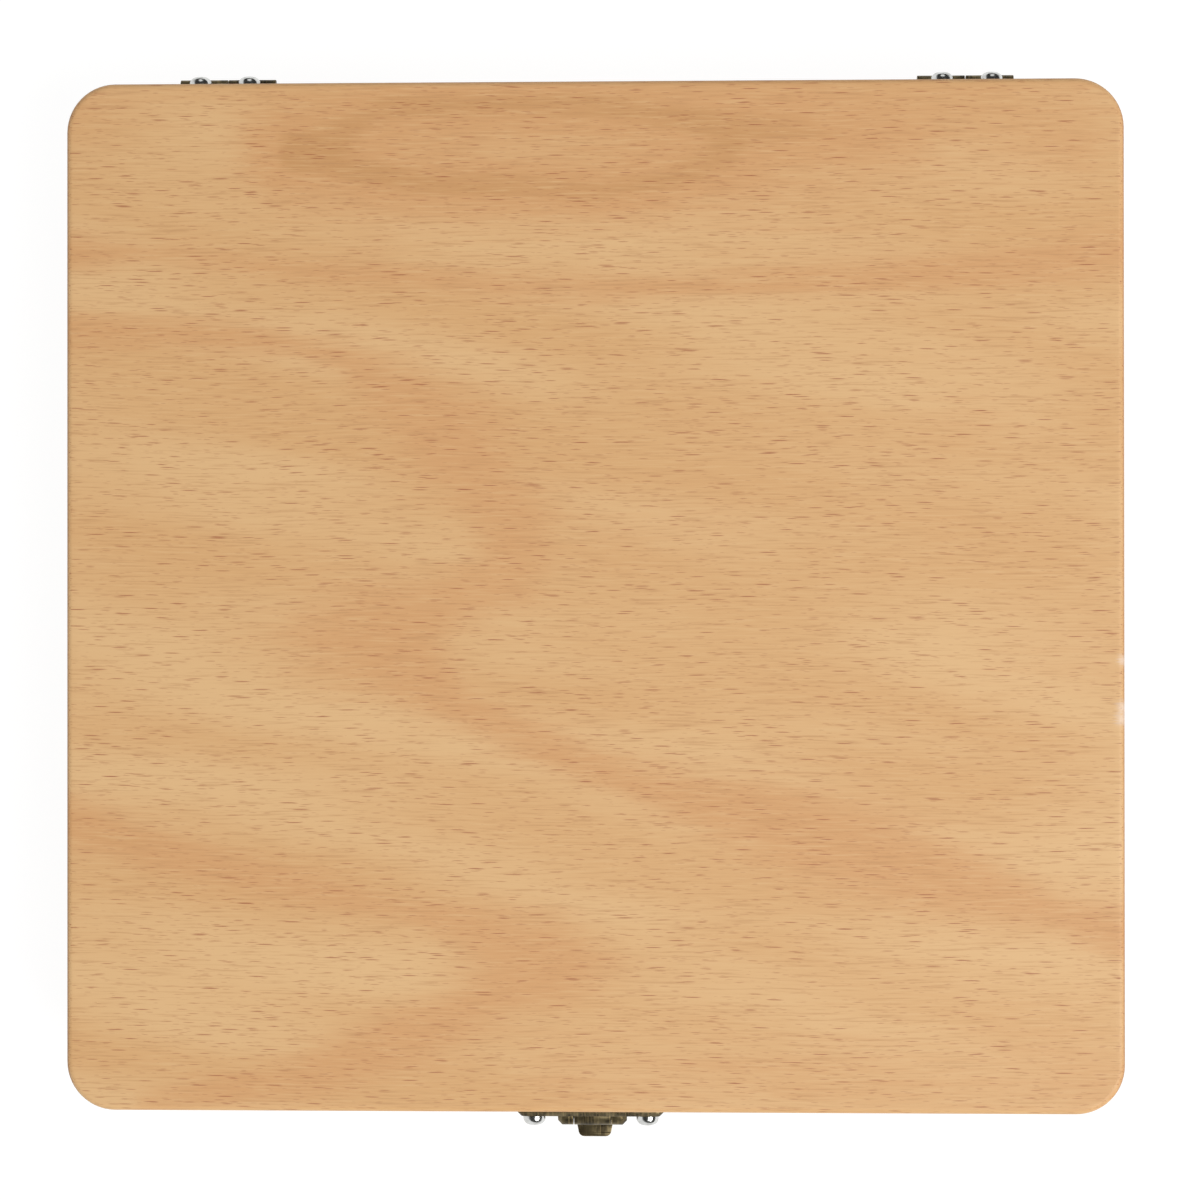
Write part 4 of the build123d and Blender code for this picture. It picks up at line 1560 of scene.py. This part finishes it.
@dataclass
class RoundBrush:
    """The round watercolour brush in the trough, with its hair to the front.

    The outlines of its handle and its ferrule are pairs of a radius and a place along the brush.
    A strand's depth and reach each have a least share of the tuft and how much more one may have.
    """

    axis_x: float = 79.5
    axis_z: float = 7.75
    handle_end: float = 81.0
    handle: tuple[Pair, ...] = (
        (0.0, 0.0), (0.75, 0.1), (1.3, 0.5), (1.55, 1.2), (2.1, 23.0), (2.7, 46.0),
        (3.3, 70.0), (3.62, 81.0), (3.7, 85.0), (3.68, 90.0), (3.55, 98.0), (3.3, 106.0),
        (2.95, 114.0), (2.6, 120.0), (2.5, 123.0), (2.15, 123.05), (2.15, 133.0), (0.0, 133.0),
    )
    ferrule: tuple[Pair, ...] = (
        (2.5, 123.0), (2.8, 123.0), (2.78, 124.6), (2.6, 124.9), (2.6, 125.4),
        (2.76, 125.7), (2.75, 126.5), (2.57, 126.8), (2.57, 127.3), (2.72, 127.6),
        (2.4, 138.0), (2.1, 147.0), (1.8, 147.0),
    )
    hair_start: float = 147.0
    hair_length: float = 15.0
    hair_root: float = 1.75
    hair_belly: float = 2.5
    hair_inside: float = 6.0
    hair_steps: int = 14
    belly_share: float = 0.33
    core_share: float = 0.86
    core_reach: float = 0.97
    core_end: float = 0.98
    tip_radius: float = 0.1
    point_power: float = 0.8
    strands: int = 260
    strand_root: float = 0.11
    strand_tip: float = 0.02
    strand_cuts: int = 6
    strand_depth: Pair = (0.86, 0.12)
    strand_reach: Pair = (0.93, 0.07)
    # A strand sways round the tuft by this angle, over this much of a wave, both in radians.
    strand_wave: float = 0.12
    strand_bends: float = 3.0
    strand_margin: float = 0.13
    # The steps from one strand's depth and reach to the next one's, as shares of their range.
    depth_step: float = 0.618
    reach_step: float = 0.381
    sides: int = 48
    hair_sides: int = 32

    def place(self) -> Matrix:
        """Returns the placement that lays a piece turned about Z in the trough."""
        spot = Vector((self.axis_x, self.handle_end, self.axis_z)) * MM
        return Matrix.Translation(spot) @ Matrix.Rotation(math.radians(90), 4, "X")

    def ferrule_shape(self) -> bmesh.types.BMesh:
        """Makes the crimped sleeve, open at both ends.

        Returns:
            The sleeve, turned about Z.
        """
        closed = [*self.ferrule, self.ferrule[0]]
        return turned(closed, self.sides)

    def hair_radius(self, share: float) -> float:
        """Works out how thick the tuft is.

        Args:
            share: the share of its length, from the ferrule.

        Returns:
            The tuft's radius there in millimetres.
        """
        if share < self.belly_share:
            bulge = math.sin(share / self.belly_share * math.pi / 2)
            return self.hair_root + (self.hair_belly - self.hair_root) * bulge
        fall = math.cos((share - self.belly_share) / (1 - self.belly_share) * math.pi / 2)
        return self.hair_belly * fall**self.point_power + self.tip_radius

    def hair_shape(self) -> bmesh.types.BMesh:
        """Makes the tuft: a core with strands laid over it that meet at the tip.

        Returns:
            The tuft, turned about Z.
        """
        inside = self.hair_start - self.hair_inside
        outline = [(0.0, inside), (self.hair_root, inside)]
        for step in range(self.hair_steps + 1):
            share = step / self.hair_steps
            along = self.hair_start + share * self.hair_length * self.core_reach
            outline.append((self.core_share * self.hair_radius(share), along))
        outline.append((0.0, self.hair_start + self.hair_length * self.core_end))
        tuft = turned(outline, self.hair_sides)
        strand = bmesh.new()
        bmesh.ops.create_cone(
            strand,
            cap_ends=True,
            segments=4,
            radius1=self.strand_root * MM,
            radius2=self.strand_tip * MM,
            depth=1.0,
        )
        sides = [e for e in strand.edges if is_upright(e)]
        bmesh.ops.subdivide_edges(
            strand, edges=sides, cuts=self.strand_cuts, use_grid_fill=False
        )
        widest = (self.hair_belly - self.strand_margin) * MM
        (least_depth, more_depth), (least_reach, more_reach) = self.strand_depth, self.strand_reach
        for number in range(self.strands):
            turn = number * GOLDEN_TURN
            depth = least_depth + more_depth * ((number * self.depth_step) % 1)
            reach = least_reach + more_reach * ((number * self.reach_step) % 1)
            copy = strand.copy()
            for v in copy.verts:
                share = (v.co.z + 0.5) * reach
                radius = min(depth * self.hair_radius(share) * MM, widest)
                swing = turn + self.strand_wave * math.sin(self.strand_bends * share + number)
                v.co.x += radius * math.cos(swing)
                v.co.y += radius * math.sin(swing)
                v.co.z = (self.hair_start + share * self.hair_length) * MM
            join_in(tuft, copy, Matrix.Identity(4))
            copy.free()
        strand.free()
        return tuft

    def build(self) -> None:
        """Builds the handle, the ferrule and the hair."""
        handle = turned(list(self.handle), self.sides)
        sleeve, tuft = self.ferrule_shape(), self.hair_shape()
        pieces = (
            ("turned_brush_handle", handle, LACQUER, "lacquered_wood", "brush_handle"),
            ("crimped_brush_ferrule", sleeve, FERRULE_NICKEL, "nickel_ferrule", "brush_ferrule"),
            ("brush_hair_tuft", tuft, HAIR, "brown_hair", "brush_hair"),
        )
        for name, shape, finish, slot, node in pieces:
            bmesh.ops.transform(shape, matrix=self.place(), verts=shape.verts)
            add_piece(shape, name, finish, "base", (node,))


@dataclass
class Studio:
    """A plain pale floor, a soft lamp, an even sky and the camera above the lid.

    Polished metal mirrors the pale walls all round, the darker ceiling above them and the
    window at the back.
    """

    floor_size: float = 6000.0
    floor_colour: str = "E4E4E2"
    floor_shade: str = "6A6A6A"
    floor_glow: float = 0.93
    sky: float = 0.42
    ceiling_colour: str = "3A3A38"
    ceiling_way: Triple = (0.6, 0.4, 1.0)
    ceiling_start: float = -0.15
    ceiling_end: float = 0.2
    window_way: Triple = (0.08, 0.78, 0.62)
    window_edge: float = 0.95
    window_blur: float = 0.02
    lamp_power: float = 34.5
    lamp_place: Triple = (1050.0, -700.0, 1750.0)
    lamp_size: float = 1200.0
    aim: Triple = (1.36, -0.67, 36.0)
    distance: float = 650.0
    lean: float = 2.2
    nod: float = 0.24
    roll: float = -0.04
    lens: float = 105.98

    def seen_share(self, tree: bpy.types.NodeTree, path: bpy.types.Node) -> bpy.types.Node:
        """Finds the rays that show a surface, straight or mirrored.

        Args:
            tree: the node tree.
            path: the node that tells the kinds of ray apart.

        Returns:
            A value that is 1 for such rays and 0 for those that only bring light.
        """
        camera, glossy = path.outputs["Is Camera Ray"], path.outputs["Is Glossy Ray"]
        seen = add_node(tree, "Math", {0: camera, 1: glossy}, operation="MAXIMUM")
        clear = path.outputs["Is Transmission Ray"]
        return add_node(tree, "Math", {0: seen, 1: clear}, operation="MAXIMUM")

    def build_floor(self) -> None:
        """Builds the floor, which shows white but keeps the object's shadow."""
        plane = bmesh.new()
        bmesh.ops.create_grid(plane, x_segments=2, y_segments=2, size=self.floor_size * MM / 2)
        mesh = bpy.data.meshes.new("studio_floor")
        plane.to_mesh(mesh)
        plane.free()
        floor = bpy.data.objects.new("studio_floor", mesh)
        bpy.context.scene.collection.objects.link(floor)
        paper = bpy.data.materials.new("pale_studio_paper")
        paper.use_nodes = True
        tree = paper.node_tree
        tree.nodes.clear()
        shaded = add_node(tree, "BsdfDiffuse", {0: self.floor_shade})
        glow = add_node(tree, "Emission", {0: "FFFFFF", 1: self.floor_glow})
        lit = add_node(tree, "AddShader", {0: shaded, 1: glow})
        plain = add_node(tree, "BsdfDiffuse", {0: self.floor_colour})
        seen = self.seen_share(tree, add_node(tree, "LightPath"))
        mixed = add_node(tree, "MixShader", {0: seen, 1: plain, 2: lit})
        add_node(tree, "OutputMaterial", {0: mixed})
        mesh.materials.append(paper)

    def build_light(self) -> None:
        """Builds the even sky and the soft lamp at the right."""
        world = bpy.data.worlds.new("studio_sky")
        bpy.context.scene.world = world
        world.use_nodes = True
        tree = world.node_tree
        tree.nodes.clear()
        path = add_node(tree, "LightPath")
        seen = self.seen_share(tree, path)
        strength = add_node(tree, "MapRange", {0: seen, 3: self.sky})
        way = add_node(tree, "TexCoord")
        height = add_node(tree, "VectorMath", {0: way, 1: self.ceiling_way}, operation="DOT_PRODUCT")
        overhead = {0: height, 1: self.ceiling_start, 2: self.ceiling_end}
        above = add_node(tree, "MapRange", overhead, **SMOOTH)
        facing = add_node(tree, "VectorMath", {0: way, 1: self.window_way}, operation="DOT_PRODUCT")
        outer, inner = self.window_edge - self.window_blur, self.window_edge + self.window_blur
        pane = {0: facing, 1: outer, 2: inner, 3: 1.0, 4: 0.0}
        walled = {0: above, 1: add_node(tree, "MapRange", pane, **SMOOTH)}
        dark = add_node(tree, "Math", walled, operation="MULTIPLY")
        mirrored = {0: dark, 1: path.outputs["Is Glossy Ray"]}
        ceiling = add_node(tree, "Math", mirrored, operation="MULTIPLY")
        colour = add_node(tree, "Mix", {0: ceiling, 6: "FFFFFF", 7: self.ceiling_colour}, **TINT)
        sky = add_node(tree, "Background", {0: colour, 1: strength})
        add_node(tree, "OutputWorld", {0: sky})
        lamp = bpy.data.lights.new("soft_lamp", "AREA")
        lamp.energy = self.lamp_power
        lamp.size = self.lamp_size * MM
        holder = bpy.data.objects.new("soft_lamp", lamp)
        bpy.context.scene.collection.objects.link(holder)
        holder.location = Vector(self.lamp_place) * MM
        holder.rotation_mode = "QUATERNION"
        holder.rotation_quaternion = (-holder.location).to_track_quat("-Z", "Y")

    def build_camera(self) -> None:
        """Builds the camera that looks straight down on the lid."""
        camera = bpy.data.cameras.new("camera")
        camera.lens = self.lens
        camera.sensor_width = 36.0
        camera.clip_start = 0.01
        camera.clip_end = 20.0
        holder = bpy.data.objects.new("camera", camera)
        bpy.context.scene.collection.objects.link(holder)
        turn = Matrix.Identity(4)
        for angle, axis in ((self.lean, "Y"), (self.nod, "X"), (self.roll, "Z")):
            turn @= Matrix.Rotation(math.radians(angle), 4, axis)
        place = (Vector(self.aim) + turn @ Vector((0, 0, self.distance))) * MM
        holder.matrix_world = Matrix.Translation(place) @ turn
        bpy.context.scene.camera = holder

    def build(self) -> None:
        """Builds the whole studio."""
        self.build_floor()
        self.build_light()
        self.build_camera()
        bpy.context.scene.view_settings.view_transform = "Standard"


def main() -> None:
    """Builds the paint box and the studio."""
    logging.basicConfig(level=logging.INFO, format="%(message)s")
    WoodenCase().dress()
    FiguredLidTop().build()
    MetalFittings().build()
    CaseScrews().build()
    HalfPans().build()
    PaintCakes().build()
    MixingPalette().build()
    RoundBrush().build()
    Studio().build()


if __name__ == "__main__":
    main()
